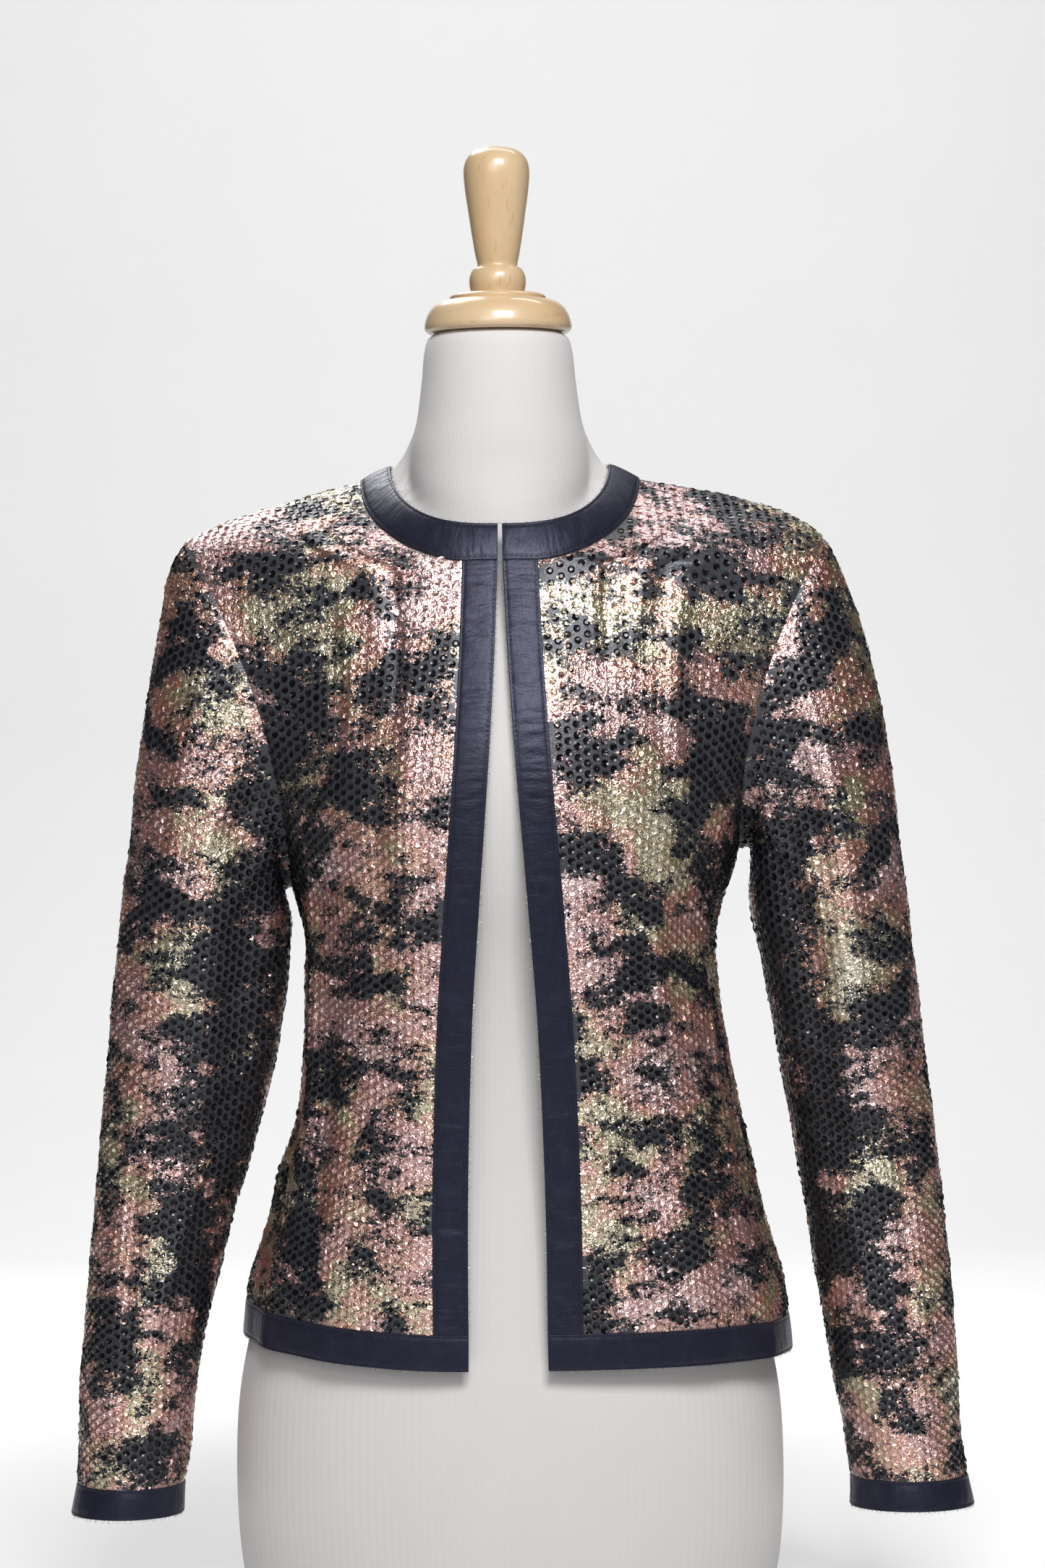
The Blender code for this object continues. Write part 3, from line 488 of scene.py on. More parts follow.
# Frayed fibres along the free edges: each starts a little inside the band
FIBRE_PITCH = 1.2
FIBRE_LENGTH = (0.9, 3.2)
FIBRE_LEAN = (-0.9, 0.9)
FIBRE_CURL = (-0.7, 0.7)
FIBRE_LIFT = (-0.5, 0.3)
FIBRE_SUNK = 0.8
FIBRE_INSIDE = 0.3
FIBRE_THICK = 0.15
FIBRE_TAPER = 0.7
FIBRE_SIDES = 3
FIBRE_SEED = 50

# Form and its jersey
FORM_GIRTH = 900.0
RIBS_PER_METRE = 1250.0

# Clouds of noise: scale, detail, roughness and distortion
FOIL_PATCHES = (24.0, 6.0, 0.66, 0.1)
FOIL_STREAKS = (75.0, 4.0, 0.6)
FOIL_SPECKLE = (330.0, 3.0, 0.7)
FOIL_CRUMBS = (820.0, 1.0)
FOIL_TONE = (17.0, 3.0, 0.55)
FOIL_FINE_TONE = (260.0, 2.0)
FOIL_WRINKLES = (900.0, 1.0, 0.5, 1.1)
NET_THREADS = (1400.0, 1.0)
SATIN_SHEEN_STREAKS = (900.0, 2.0)
SATIN_WEAR = (60.0, 3.0, 0.6)
SATIN_WEAVE = (2200.0, 1.0)
SATIN_CREASES = (240.0, 3.0, 0.6)
THREAD_STRANDS = (2600.0, 1.0)
FIBRE_GLINTS = (700.0, 1.0)
JERSEY_ROWS = (1500.0, 1.0)
JERSEY_STAINS = (14.0, 3.0, 0.6)
BEECH_STREAKS = (9.0, 6.0, 0.6, 0.5)
BEECH_FLECKS = (60.0, 2.0, 0.5)
PAPER_GRAIN = (3.0, 2.0)

# How the turned wood's grain is stretched and shifted
CAP_GRAIN = ((1.0, 1.0, 7.0), (3, 1, 2))
GRIP_GRAIN = ((9.0, 9.0, 0.9), (1, 4, 1))

# Colours, as light that they send back. The foil's are each at a tone from 0 to 1.
FOIL_COLOURS = (
    (0.32, (0.78, 0.52, 0.50)),
    (0.72, (0.70, 0.62, 0.46)),
    (0.42, (0.68, 0.37, 0.34)),
    (0.485, (0.64, 0.32, 0.28)),
    (0.505, (0.66, 0.31, 0.20)),
    (0.55, (0.69, 0.40, 0.28)),
    (0.575, (0.56, 0.46, 0.26)),
)

# Foil: how much noise leaves it on, how soft its edge is, and how ragged its patches and tones are
FOIL_LEVEL = 0.497
FOIL_EDGE = 0.012
STREAK_RAG = 0.28
SPECKLE_RAG = 0.34
CRUMB_RAG = 0.204
TONE_RAG = 0.22

# Foil's grains: their width in metres on the net and on the sequins, their slope and roundness, and the
# height of its wrinkles and of the net's threads
NET_GRAIN = 0.0014
SEQUIN_GRAIN = 0.0013
GRAIN_SLOPE = 0.22
GRAIN_ROUND = 0.18
WRINKLE_HEIGHT = 0.00035
THREAD_HEIGHT = 0.00012

# Foil's clear coat, which gives its white glints
FOIL_METAL = 0.95
FOIL_ROUGHNESS = 0.32
FOIL_COAT = 0.9
COAT_LOOK = {"Coat Roughness": 0.16, "Coat IOR": 3.0}

# Painted shade under the arms, where sleeve and body shade each other: the foil is thinned there so that the
# dark net shows. In metres: its top and foot, how far aside, and its lean
UNDERARM_SHADE_TOP = 0.54
UNDERARM_SHADE_FOOT = 0.10
UNDERARM_SHADE_ASIDE = 0.145
UNDERARM_SHADE_LEAN = 0.20
UNDERARM_SHADE_HALF_WIDTH = 0.045
UNDERARM_SHADE_TOP_FADE = 0.08
UNDERARM_SHADE_FOOT_FADE = 0.22
UNDERARM_SHADE_STRENGTH = 0.12

NET_DARK = (0.018, 0.019, 0.023)
NET_LIGHT = (0.042, 0.044, 0.052)
SEQUIN_THREAD = (0.010, 0.012, 0.017)
SEQUIN_DARK = (0.002, 0.002, 0.003)
SEQUIN_LIGHT = (0.007, 0.007, 0.010)
SATIN_DARK = (0.008, 0.008, 0.017)
# Painted sheen: the satin's lighter colour along its lengthwise streaks
SATIN_PAINTED_SHEEN = (0.015, 0.016, 0.030)
SATIN_WORN = (0.022, 0.023, 0.040)
THREAD_DARK = (0.004, 0.004, 0.008)
THREAD_LIGHT = (0.016, 0.016, 0.026)
FIBRE_DARK = (0.012, 0.012, 0.018)
FIBRE_GLINT = (0.62, 0.55, 0.50)
JERSEY_LIGHT = (0.60, 0.58, 0.575)
JERSEY_SHADE = (0.56, 0.54, 0.535)
# Painted shade in the grooves between the jersey's ribs
JERSEY_GROOVE_SHADE = (0.52, 0.51, 0.52)
BEECH_LIGHT = (0.62, 0.47, 0.30)
BEECH_DARK = (0.52, 0.37, 0.21)
BEECH_RING = (0.56, 0.34, 0.16)
BEECH_FLECK = (0.40, 0.22, 0.09)
PAPER_DARK = (0.79, 0.79, 0.79)
PAPER_LIGHT = (0.82, 0.82, 0.82)

# The backdrop in metres: how far its floor reaches ahead and back, its bend's radius, its height and half
# width
FLOOR_AHEAD = 1.3
FLOOR_BACK = 2.4
BACKDROP_BEND = 1.6
BACKDROP_HEIGHT = 4.5
BACKDROP_HALF_WIDTH = 1.9

# The surround's light, and how bright the camera sees it
WORLD_LIGHT = 0.05
WORLD_SEEN = 0.80

# Lights: a name, its place, what it faces, its size, its watts
LIGHTS = (
    ("key_light", (0.35, -2.05, 2.25), (0.0, 0.0, 0.68), (1.2, 0.8), 78),
    ("front_fill", (-0.6, -2.9, 1.7), (0.0, 0.0, 0.65), (1.6, 1.2), 19),
    ("back_light", (-0.7, 1.7, 2.4), (0.0, 0.0, 0.6), (0.8, 0.5), 26),
    ("backdrop_light", (0.0, 1.0, 2.8), (0.0, 3.4, 0.8), (2.4, 1.2), 80),
)

# Camera
CAMERA_DISTANCE = 3.1
CAMERA_CENTRE = Vector((0.00467, -0.0013, 0.52854))
CAMERA_HEIGHT_SEEN = 0.99728
CAMERA_ROLL = -0.62
SENSOR = 36.0


# Geometry of the cloth, on the same formulas as the solids


def placed(point):
    """A point in millimetres from the form's axis, in metres from the part's origin."""
    return (point - ORIGIN) * METRES


def smooth_step(share):
    share = min(1.0, max(0.0, share))
    return share * share * (3 - 2 * share)


def read_table(columns, rows, column, height):
    """A column of a table of levels, read at a height through a smooth curve."""
    at = columns.index(column)
    levels = [row[0] for row in rows]
    values = [row[at] for row in rows]
    height = min(levels[-1], max(levels[0], height))
    i = max(k for k in range(len(levels) - 1) if levels[k] <= height or k == 0)

    def slope(k):
        before, after = max(k - 1, 0), min(k + 1, len(levels) - 1)
        return (values[after] - values[before]) / (levels[after] - levels[before])

    span = levels[i + 1] - levels[i]
    t = (height - levels[i]) / span
    near, far = slope(i) * span, slope(i + 1) * span
    return (
        (2 * t**3 - 3 * t**2 + 1) * values[i]
        + (t**3 - 2 * t**2 + t) * near
        + (3 * t**2 - 2 * t**3) * values[i + 1]
        + (t**3 - t**2) * far
    )


def torso(column, height):
    return read_table(TORSO_COLUMNS, TORSO_SECTIONS, column, height)


def opening(height):
    return read_table(OPENING_COLUMNS, OPENING_SECTIONS, "gap", height)


def sleeve(column, height):
    return read_table(SLEEVE_COLUMNS, SLEEVE_SECTIONS, column, height)


def bezier(a, b, c, d, t):
    s = 1 - t
    return a * s**3 + b * 3 * s * s * t + c * 3 * s * t * t + d * t**3


def neck_curve(edge, face, angle):
    """A point of the neckline on the +X half. The angle is 0 at centre front or back, 90 at the shoulder."""
    turn = math.radians(angle)
    centre_y, centre_z = edge[face]
    inset = opening(centre_z) if face == "front" else 0.0
    return Vector(
        (
            inset + (edge["half"] - inset) * abs(math.sin(turn)) ** edge["fullness"],
            edge["top_y"] + (centre_y - edge["top_y"]) * math.cos(turn),
            edge["top"] + (centre_z - edge["top"]) * math.cos(turn),
        )
    )


def arm_ring_point(top, foot, depth, bowed, angle):
    """A point of a ring round the arm: 0 is its top or outer end, 90 front, 180 its foot, 270 back."""
    turn = math.radians(angle)
    point = (top + foot) / 2 + (top - foot) / 2 * math.cos(turn)
    point.y -= depth * math.sin(turn)
    bow = ARMHOLE_BOW_FRONT if math.sin(turn) > 0 else ARMHOLE_BOW_BACK
    point.x -= bowed * bow * math.sin(turn) ** 2
    return point


def armhole(side, angle):
    """A point of the armhole on the +X half."""
    facts = SIDES[side]
    top = Vector((facts["shoulder"][0], SHOULDER_Y, facts["shoulder"][1]))
    foot = Vector((facts["armpit"][0], ARMPIT_Y, facts["armpit"][1]))
    return arm_ring_point(top, foot, ARMHOLE_HALF_DEPTH, 1.0, angle)


def shoulder_directions(side):
    """The directions in which the shoulder seam leaves the neck and leaves the shoulder point."""
    facts = SIDES[side]
    start = neck_curve(NECK_SEAM, "front", 90)
    end = armhole(side, 0)
    first, second = (Vector((x, SHOULDER_Y, z)) for x, z in facts["seam_handles"])
    return first - start, second - end


def fold_rise(piece, across, height):
    """How far the folds of a piece stand out at a place."""
    total = 0.0
    for name, foot, head, width, low, high, rise in FOLDS:
        along = (height - low) / (high - low)
        if name != piece or not 0 < along < 1:
            continue
        aside = (across - (foot + (head - foot) * along)) / width
        total += rise * math.exp(-aside * aside) * math.sin(math.pi * along) ** FOLD_END
    return total


def row_curve(side, face, start, end, lift_in, lift_out):
    """The curve across half a panel. Both lifts are 0 below the chest and 1 at the shoulder seam."""
    way = -1 if face == "front" else 1
    from_neck, from_shoulder = shoulder_directions(side)
    reach = end.x - start.x
    chord = (end - start).length
    flat_start = Vector((FLAT_HANDLE * reach, 0, 0))
    side_end = Vector((0, way * SIDE_HANDLE * abs(end.y - start.y), 0))
    seam_start = from_neck.normalized() * SEAM_START_HANDLE * chord
    seam_end = from_shoulder.normalized() * SEAM_END_HANDLE * chord
    handle_in = start + flat_start.lerp(seam_start, lift_in)
    handle_out = end + side_end.lerp(seam_end, lift_out)
    return start, handle_in, handle_out, end


def centre_point(face, height):
    if face == "front":
        return Vector((opening(height), -torso("front", height), height))
    return Vector((0, torso("back", height), height))


def side_point(side, height):
    """The side seam, which runs into the armpit."""
    armpit = armhole(side, 180)
    level = SIDES[side]["armpit"][1]
    near = smooth_step((height - (level - ARMPIT_BLEND)) / ARMPIT_BLEND)
    x = torso(side, height) + (armpit.x - torso(side, level)) * near
    return Vector((x, SIDE_SEAM_Y + (ARMPIT_Y - SIDE_SEAM_Y) * near, height))


def neck_start_angle(face):
    """Where the neck seam passes the front band, or centre back."""
    if face == "back":
        return 0.0
    inset = opening(NECK_SEAM["front"][1])
    share = BAND_WIDTH / (NECK_SEAM["half"] - inset)
    return math.degrees(math.asin(share ** (1 / NECK_SEAM["fullness"])))


def neck_seam(side, face, angle):
    """The seam under the neck band. Beside the front band it lies on the row that the band ends at."""
    point = neck_curve(NECK_SEAM, face, angle)
    if face == "back":
        return point
    first = neck_start_angle(face)
    corner = band_corner(side)
    fade = 1 - smooth_step((angle - first) / CORNER_FADE)
    return point + (corner - neck_curve(NECK_SEAM, face, first)) * fade


def band_corner(side):
    """Where the front band's seam meets the neck band's."""
    curve = row_curve(side, "front", *top_front_row(side))
    return points_along(curve, (seam_share(curve),))[0][0]


def top_front_row(side):
    angle = UPPER_ARMHOLE["front"]
    lift_out = (1 + math.cos(math.radians(angle))) / 2
    return centre_point("front", NECK_SEAM["front"][1]), armhole(side, angle), 0.0, lift_out


def points_along(curve, shares):
    """Points of a Bezier curve at shares of its length."""
    samples = [bezier(*curve, i / CURVE_SAMPLES) for i in range(CURVE_SAMPLES + 1)]
    lengths = [0.0]
    for before, after in zip(samples, samples[1:]):
        lengths.append(lengths[-1] + (after - before).length)
    found = []
    for share in shares:
        target = share * lengths[-1]
        k = max(i for i in range(CURVE_SAMPLES) if lengths[i] <= target or i == 0)
        part = (target - lengths[k]) / (lengths[k + 1] - lengths[k])
        found.append(samples[k].lerp(samples[k + 1], min(1.0, max(0.0, part))))
    return found, lengths[-1]


def place_of(point):
    return tuple(round(value, 2) for value in point)


def quads_of(rows, ring=False, flip=False):
    """The quads of a grid, each as four points that run round its outer face."""
    wide = len(rows[0])
    quads = []
    for i in range(len(rows) - 1):
        for j in range(wide if ring else wide - 1):
            k = (j + 1) % wide
            quad = [rows[i][j], rows[i][k], rows[i + 1][k], rows[i + 1][j]]
            quads.append(quad[::-1] if flip else quad)
    return quads


def normals_of(pieces):
    """The cloth's mean normal at each place, over all pieces, so that those that meet share their seam's."""
    normals = {}
    for quads in pieces.values():
        for a, b, c, d in quads:
            normal = (c - a).cross(d - b).normalized()
            for point in (a, b, c, d):
                normals[place_of(point)] = normals.get(place_of(point), Vector()) + normal
    return {place: normal.normalized() for place, normal in normals.items()}


def border_of(quads):
    """The places on a piece's border, which are the ends of each edge that only one of its quads has."""
    edges = {(place_of(a), place_of(b)) for quad in quads for a, b in zip(quad, quad[1:] + quad[:1])}
    return {place for ends in edges if ends[::-1] not in edges for place in ends}


def reach(half, depth, roundness, across, ahead):
    """How far a rounded oval reaches from its middle in the direction (across, ahead)."""
    share = (abs(across) / half) ** roundness + (abs(ahead) / depth) ** roundness
    return share ** (-1 / roundness)


def form_ring(height):
    """One level of the form: the oval of its shoulders or body, blended with the oval of its neck."""
    size = {name: read_table(FORM_COLUMNS, FORM_SECTIONS, name, height) for name in FORM_COLUMNS[1:]}
    points = []
    for i in range(FORM_ROUND):
        turn = 2 * math.pi * i / FORM_ROUND
        across, ahead = math.sin(turn), -math.cos(turn)
        face = "front" if ahead < 0 else "back"
        body = reach(size["half"], size[face], FORM_ROUNDNESS, across, ahead)
        neck = reach(size["neck_half"], size["neck_" + face], 2, across, ahead)
        far = (body**FORM_BLEND + neck**FORM_BLEND) ** (1 / FORM_BLEND)
        points.append(Vector((far * across, size["middle"] + far * ahead, height)))
    return points


def crease_rise(piece, across, height, span):
    """How far the creases of a piece stand out at a place."""
    total = 0.0
    for name, from_across, from_height, to_across, to_height, width, rise in CREASES:
        if name != piece:
            continue
        along_x, along_z = (to_across - from_across) * span, to_height - from_height
        x, z = (across - from_across) * span, height - from_height
        length = math.hypot(along_x, along_z)
        share = (x * along_x + z * along_z) / length**2
        if not 0 < share < 1:
            continue
        aside = (x * along_z - z * along_x) / length / width
        if abs(aside) < CREASE_REACH:
            total += rise * math.exp(-aside * aside) * math.sin(math.pi * share) ** CREASE_END
    return total


def unevenness(point):
    """The cloth's slight waviness at a place."""
    return sum(noise.noise(point / size) * rise for rise, size in UNEVENNESS)


def panel_levels(side, face, fine):
    """For each row of half a panel: where it starts, where it ends, and the two lifts of its curve."""
    facts = SIDES[side]
    sign = 1 if face == "front" else -1
    armpit_z = facts["armpit"][1]
    neck_z = NECK_SEAM[face][1]
    rows = []
    skirt, chest, neck = SKIRT_STEPS * fine, CHEST_STEPS * fine, NECK_STEPS * fine
    for i in range(skirt + 1):
        share = i / skirt
        inner_z = CENTRE_HEM + (CHEST_START - CENTRE_HEM) * share
        outer_z = facts["side_hem"] + (armpit_z - facts["side_hem"]) * share
        rows.append((centre_point(face, inner_z), side_point(side, outer_z), 0.0, 0.0))
    for i in range(1, chest + 1):
        share = i / chest
        inner_z = CHEST_START + (neck_z - CHEST_START) * share
        angle = 180 - (180 - UPPER_ARMHOLE[face]) * share
        lift_out = (1 + math.cos(math.radians(angle))) / 2
        rows.append((centre_point(face, inner_z), armhole(side, sign * angle), 0.0, lift_out))
    first = neck_start_angle(face)
    for i in range(1, neck + 1):
        share = i / neck
        neck_angle = first + (90 - first) * share
        angle = UPPER_ARMHOLE[face] * (1 - share)
        lift_out = (1 + math.cos(math.radians(angle))) / 2
        start, end = neck_seam(side, face, neck_angle), armhole(side, sign * angle)
        rows.append((start, end, smooth_step(share), lift_out))
    return rows


def along_row(curve, first, last, steps):
    return points_along(curve, [first + (last - first) * i / steps for i in range(steps + 1)])[0]


def across_band(curve):
    """The points of a front row on its band, from the free edge to the seam."""
    seam = seam_share(curve)
    return points_along(curve, [seam * share for share in BAND_SHARES])[0]


def seam_share(curve):
    """The front band's share of a front row."""
    return BAND_WIDTH / points_along(curve, (0,))[1]


def raise_panel(panel, rows):
    """Moves the rows of a panel out by its folds, creases and unevenness. Its seams stay in place."""
    last = len(rows) - 1
    for i, points in enumerate(rows):
        near_shoulder = smooth_step((last - i) / (3 * CLOTH_FINE))
        near_hem = smooth_step(i / CLOTH_FINE)
        for j, point in enumerate(points):
            share = j / (len(points) - 1)
            from_side = min(share, 1 - share)
            near_seam = smooth_step(from_side / FOLD_FADE)
            small = smooth_step(from_side / CREASE_FADE) * smooth_step((last - i) / CLOTH_FINE) * near_hem
            rise = fold_rise(panel, share, point.z) * near_seam * near_shoulder
            rise += (crease_rise(panel, share, point.z, PANEL_SPAN) + unevenness(point)) * small
            point += Vector((point.x, point.y, 0)).normalized() * rise


def mirrored(side, rows):
    sign = SIDES[side]["sign"]
    return [[Vector((sign * p.x, p.y, p.z)) for p in points] for points in rows]


def front_rows(side):
    """A front's rows from its band's seam out to the side seam, armhole and shoulder."""
    columns = PANEL_STEPS * CLOTH_FINE
    levels = panel_levels(side, "front", CLOTH_FINE)
    below_neck = (SKIRT_STEPS + CHEST_STEPS) * CLOTH_FINE + 1
    rows = []
    for i, level in enumerate(levels):
        curve = row_curve(side, "front", *level)
        rows.append(along_row(curve, seam_share(curve) if i < below_neck else 0.0, 1.0, columns))
    raise_panel("front_" + side, rows)
    return mirrored(side, rows)


def back_rows(side):
    columns = PANEL_STEPS * CLOTH_FINE
    levels = panel_levels(side, "back", CLOTH_FINE)
    rows = [along_row(row_curve(side, "back", *level), 0.0, 1.0, columns) for level in levels]
    raise_panel("back_" + side, rows)
    return mirrored(side, rows)


def front_band_rows(side):
    """A front band's rows from the hem band up to the neck band, each from the free edge to the seam."""
    below_neck = (SKIRT_STEPS + CHEST_STEPS) * BAND_FINE + 1
    rows = []
    for level in panel_levels(side, "front", BAND_FINE)[:below_neck]:
        curve = row_curve(side, "front", *level)
        rows.append(across_band(curve))
    return mirrored(side, rows)


def hem_rows(side, face):
    """Half of the hem band on one face, each row from its free edge up to its seam."""
    lowest = panel_levels(side, face, 1)[0]
    columns = PANEL_STEPS * HEM_FINE
    top = along_row(row_curve(side, face, *lowest), 0.0, 1.0, columns)
    if face == "front":
        seam = seam_share(row_curve(side, face, *lowest))
        shares = [max(0.0, (j / columns - seam) / (1 - seam)) for j in range(columns + 1)]
    else:
        shares = [j / columns for j in range(columns + 1)]
    for share, point in zip(shares, top):
        near_seam = smooth_step(min(share, 1 - share) / FOLD_FADE)
        rise = fold_rise(face + "_" + side, share, point.z) * near_seam
        point += Vector((point.x, point.y, 0)).normalized() * rise
    rows = []
    for across in BAND_SHARES:
        drop = BAND_WIDTH * (1 - across)
        grow = 1 + HEM_FLARE * drop / BAND_WIDTH
        rows.append([Vector((p.x * grow, p.y * grow, p.z - drop)) for p in top])
    return mirrored(side, rows)


def neck_rows(side):
    """The neck band on one side: a row for each angle from centre front to centre back, free edge to seam."""
    first = neck_start_angle("front")
    steps = NECK_STEPS * NECK_FINE
    lead = NECK_CORNER_STEPS
    front = [first * i / lead for i in range(lead)]
    front += [first + (90 - first) * i / steps for i in range(steps + 1)]
    back = [90 * i / steps for i in range(steps - 1, -1, -1)]
    top_curve = row_curve(side, "front", *top_front_row(side))
    on_band = along_row(top_curve, 0.0, seam_share(top_curve), lead)
    rows = []
    for i, (face, angle) in enumerate([("front", a) for a in front] + [("back", a) for a in back]):
        edge = neck_curve(NECK_EDGE, face, angle)
        seam = on_band[i] if i <= lead else neck_seam(side, face, angle)
        ahead, up = NECK_BULGE
        out = Vector((0, -ahead if face == "front" else ahead, up))
        rows.append([edge.lerp(seam, t) + out * math.sin(math.pi * t) for t in BAND_SHARES])
    return mirrored(side, rows)


def armhole_angles(fine):
    """The angles round the armhole at which the panels' rows end, once round."""
    angles = []
    for face, sign in (("front", 1), ("back", -1)):
        upper = UPPER_ARMHOLE[face]
        chest, neck = CHEST_STEPS * fine, NECK_STEPS * fine
        turn = [180 - (180 - upper) * i / chest for i in range(chest + 1)]
        turn += [upper * (1 - i / neck) for i in range(1, neck + 1)]
        angles.append(turn)
    return list(reversed(angles[0])) + [360 - a for a in angles[1][1:-1]]


def sleeve_ring(side, outer_z, inner_z, cap_share, small):
    """One ring of a sleeve. cap_share is 0 at the armhole and 1 where the rings lie level."""
    top = Vector((sleeve(side + "_out", outer_z), sleeve("back", outer_z), outer_z))
    foot = Vector((sleeve(side + "_in", inner_z), sleeve("back", inner_z), inner_z))
    depth = sleeve("depth", (outer_z + inner_z) / 2)
    depth = ARMHOLE_HALF_DEPTH + (depth - ARMHOLE_HALF_DEPTH) * cap_share
    points = []
    for angle in armhole_angles(CLOTH_FINE):
        point = arm_ring_point(top, foot, depth, (1 - cap_share) ** 2, angle)
        out = point - (top + foot) / 2
        out.z = 0
        rise = fold_rise("sleeve_" + side, angle, point.z) * smooth_step(cap_share * 2)
        rise += (crease_rise("sleeve_" + side, angle, point.z, SLEEVE_SPAN) + unevenness(point)) * small
        point += out.normalized() * rise
        points.append(point)
    return points


def cap_place(share):
    """Where a ring of the sleeve's cap stands on its outer and inner outlines, at a share of the rings."""
    at = share * (len(CAP_RINGS) - 1)
    k = min(int(at), len(CAP_RINGS) - 2)
    return [a + (b - a) * (at - k) for a, b in zip(CAP_RINGS[k], CAP_RINGS[k + 1])]


def sleeve_rows(side):
    """A sleeve's rings, from the armhole to the cuff's seam."""
    facts = SIDES[side]
    shoulder_z, armpit_z = facts["shoulder"][1], facts["armpit"][1]
    cap_steps, arm_steps = (len(CAP_RINGS) - 1) * CLOTH_FINE, ARM_STEPS * CLOTH_FINE
    rings = [[armhole(side, angle) for angle in armhole_angles(CLOTH_FINE)]]
    for i in range(1, cap_steps + 1):
        outer, inner = cap_place(i / cap_steps)
        outer_z = shoulder_z + (CAP_END - shoulder_z) * outer
        inner_z = armpit_z + (CAP_END - armpit_z) * inner
        rings.append(sleeve_ring(side, outer_z, inner_z, outer, smooth_step(i / cap_steps * 3)))
    for i in range(1, arm_steps + 1):
        z = CAP_END + (CUFF_TOP - CAP_END) * i / arm_steps
        rings.append(sleeve_ring(side, z, z, 1.0, smooth_step((arm_steps - i) / CLOTH_FINE)))
    return mirrored(side, rings)


def cuff_rows(side):
    rings = []
    for across in BAND_SHARES:
        z = CUFF_TOP - CUFF_WIDTH * (1 - across)
        rings.append(sleeve_ring(side, z, z, 1.0, 0.0))
    return mirrored(side, rings)


# Meshes


def new_object(name, points, faces, finish, edges=()):
    """A mesh object whose points are in metres from the part's origin."""
    data = bpy.data.meshes.new(name)
    data.from_pydata([tuple(point) for point in points], edges, faces)
    data.materials.append(finish)
    obj = bpy.data.objects.new(name, data)
    bpy.context.scene.collection.objects.link(obj)
    return obj


def select_only(obj):
    bpy.ops.object.select_all(action="DESELECT")
    obj.select_set(True)
    bpy.context.view_layer.objects.active = obj


def edit_all(obj, *steps):
    """Runs steps in edit mode, each on all of a mesh."""
    select_only(obj)
    bpy.ops.object.mode_set(mode="EDIT")
    for step in steps:
        bpy.ops.mesh.select_all(action="SELECT")
        step()
    bpy.ops.object.mode_set(mode="OBJECT")


def lay_out(obj, cut):
    """Gives a mesh its flat cut in metres as the UV map "cut", one place for each corner of each face."""
    layer = obj.data.uv_layers.new(name="cut")
    layer.uv.foreach_set("vector", np.asarray(cut).ravel())


def give_wall(obj, wall, rounding=0.0):
    """Thickens a skin inwards, rounds its edges and shades it smooth between them."""
    select_only(obj)
    solid = obj.modifiers.new("wall", "SOLIDIFY")
    solid.thickness = wall * METRES
    solid.offset = -1.0
    bpy.ops.object.modifier_apply(modifier=solid.name)
    if rounding:
        bevel = obj.modifiers.new("rounding", "BEVEL")
        bevel.width = rounding * METRES
        bevel.segments = 2
        bevel.limit_method = "ANGLE"
        bevel.angle_limit = math.radians(ROUNDED_ABOVE)
        bpy.ops.object.modifier_apply(modifier=bevel.name)
    bpy.ops.object.shade_smooth_by_angle(angle=math.radians(SMOOTH_BELOW))


def take_place(obj, slot, *nodes):
    """The piece rides on the part's one body and stands for these nodes, which it hides. Its slot is not
    used.
    """
    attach(obj, "root")
    if nodes:
        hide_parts(*nodes)


def cloth_skin(name, quads, normals, finish):
    """A single skin of cloth over a piece's quads, sunk along its seams, and each place's vertex."""
    border = border_of(quads)
    vertex, points, faces = {}, [], []
    for quad in quads:
        for point in quad:
            place = place_of(point)
            if place not in vertex:
                vertex[place] = len(points)
                sink = SEAM_DIP if place in border else 0.0
                points.append(placed(point - normals[place] * sink))
        faces.append([vertex[place_of(point)] for point in quad])
    return new_object(name, points, faces, finish), vertex


def lay_flat(obj, seam_edges, foot, head, offset):
    """Unwraps a skin to its flat cut in metres, as the UV map "cut", with the line foot to head upright."""
    data = obj.data
    data.uv_layers.new(name="cut")
    for edge in data.edges:
        edge.use_seam = frozenset(edge.vertices) in seam_edges
    edit_all(obj, lambda: bpy.ops.uv.unwrap(method="CONFORMAL", margin=0.0))
    data.calc_loop_triangles()
    uvs = np.empty(len(data.loops) * 2)
    data.uv_layers["cut"].uv.foreach_get("vector", uvs)
    uvs = uvs.reshape(-1, 2)
    corners = np.array([triangle.loops[:] for triangle in data.loop_triangles])
    a, b, c = (uvs[corners[:, k]] for k in range(3))
    flat_area = abs(np.cross(b - a, c - a).sum() / 2)
    worn_area = sum(triangle.area for triangle in data.loop_triangles)
    first = {loop.vertex_index: i for i, loop in reversed(list(enumerate(data.loops)))}
    upright = uvs[first[head]] - uvs[first[foot]]
    turn = math.pi / 2 - math.atan2(upright[1], upright[0])
    matrix = np.array([[math.cos(turn), math.sin(turn)], [-math.sin(turn), math.cos(turn)]])
    uvs = (uvs @ matrix) * math.sqrt(worn_area / flat_area)
    uvs += np.array(offset) - uvs.min(axis=0)
    data.uv_layers["cut"].uv.foreach_set("vector", uvs.ravel())
    size = uvs.max(axis=0) - uvs.min(axis=0)
    return uvs, tuple(float(value) for value in size), worn_area


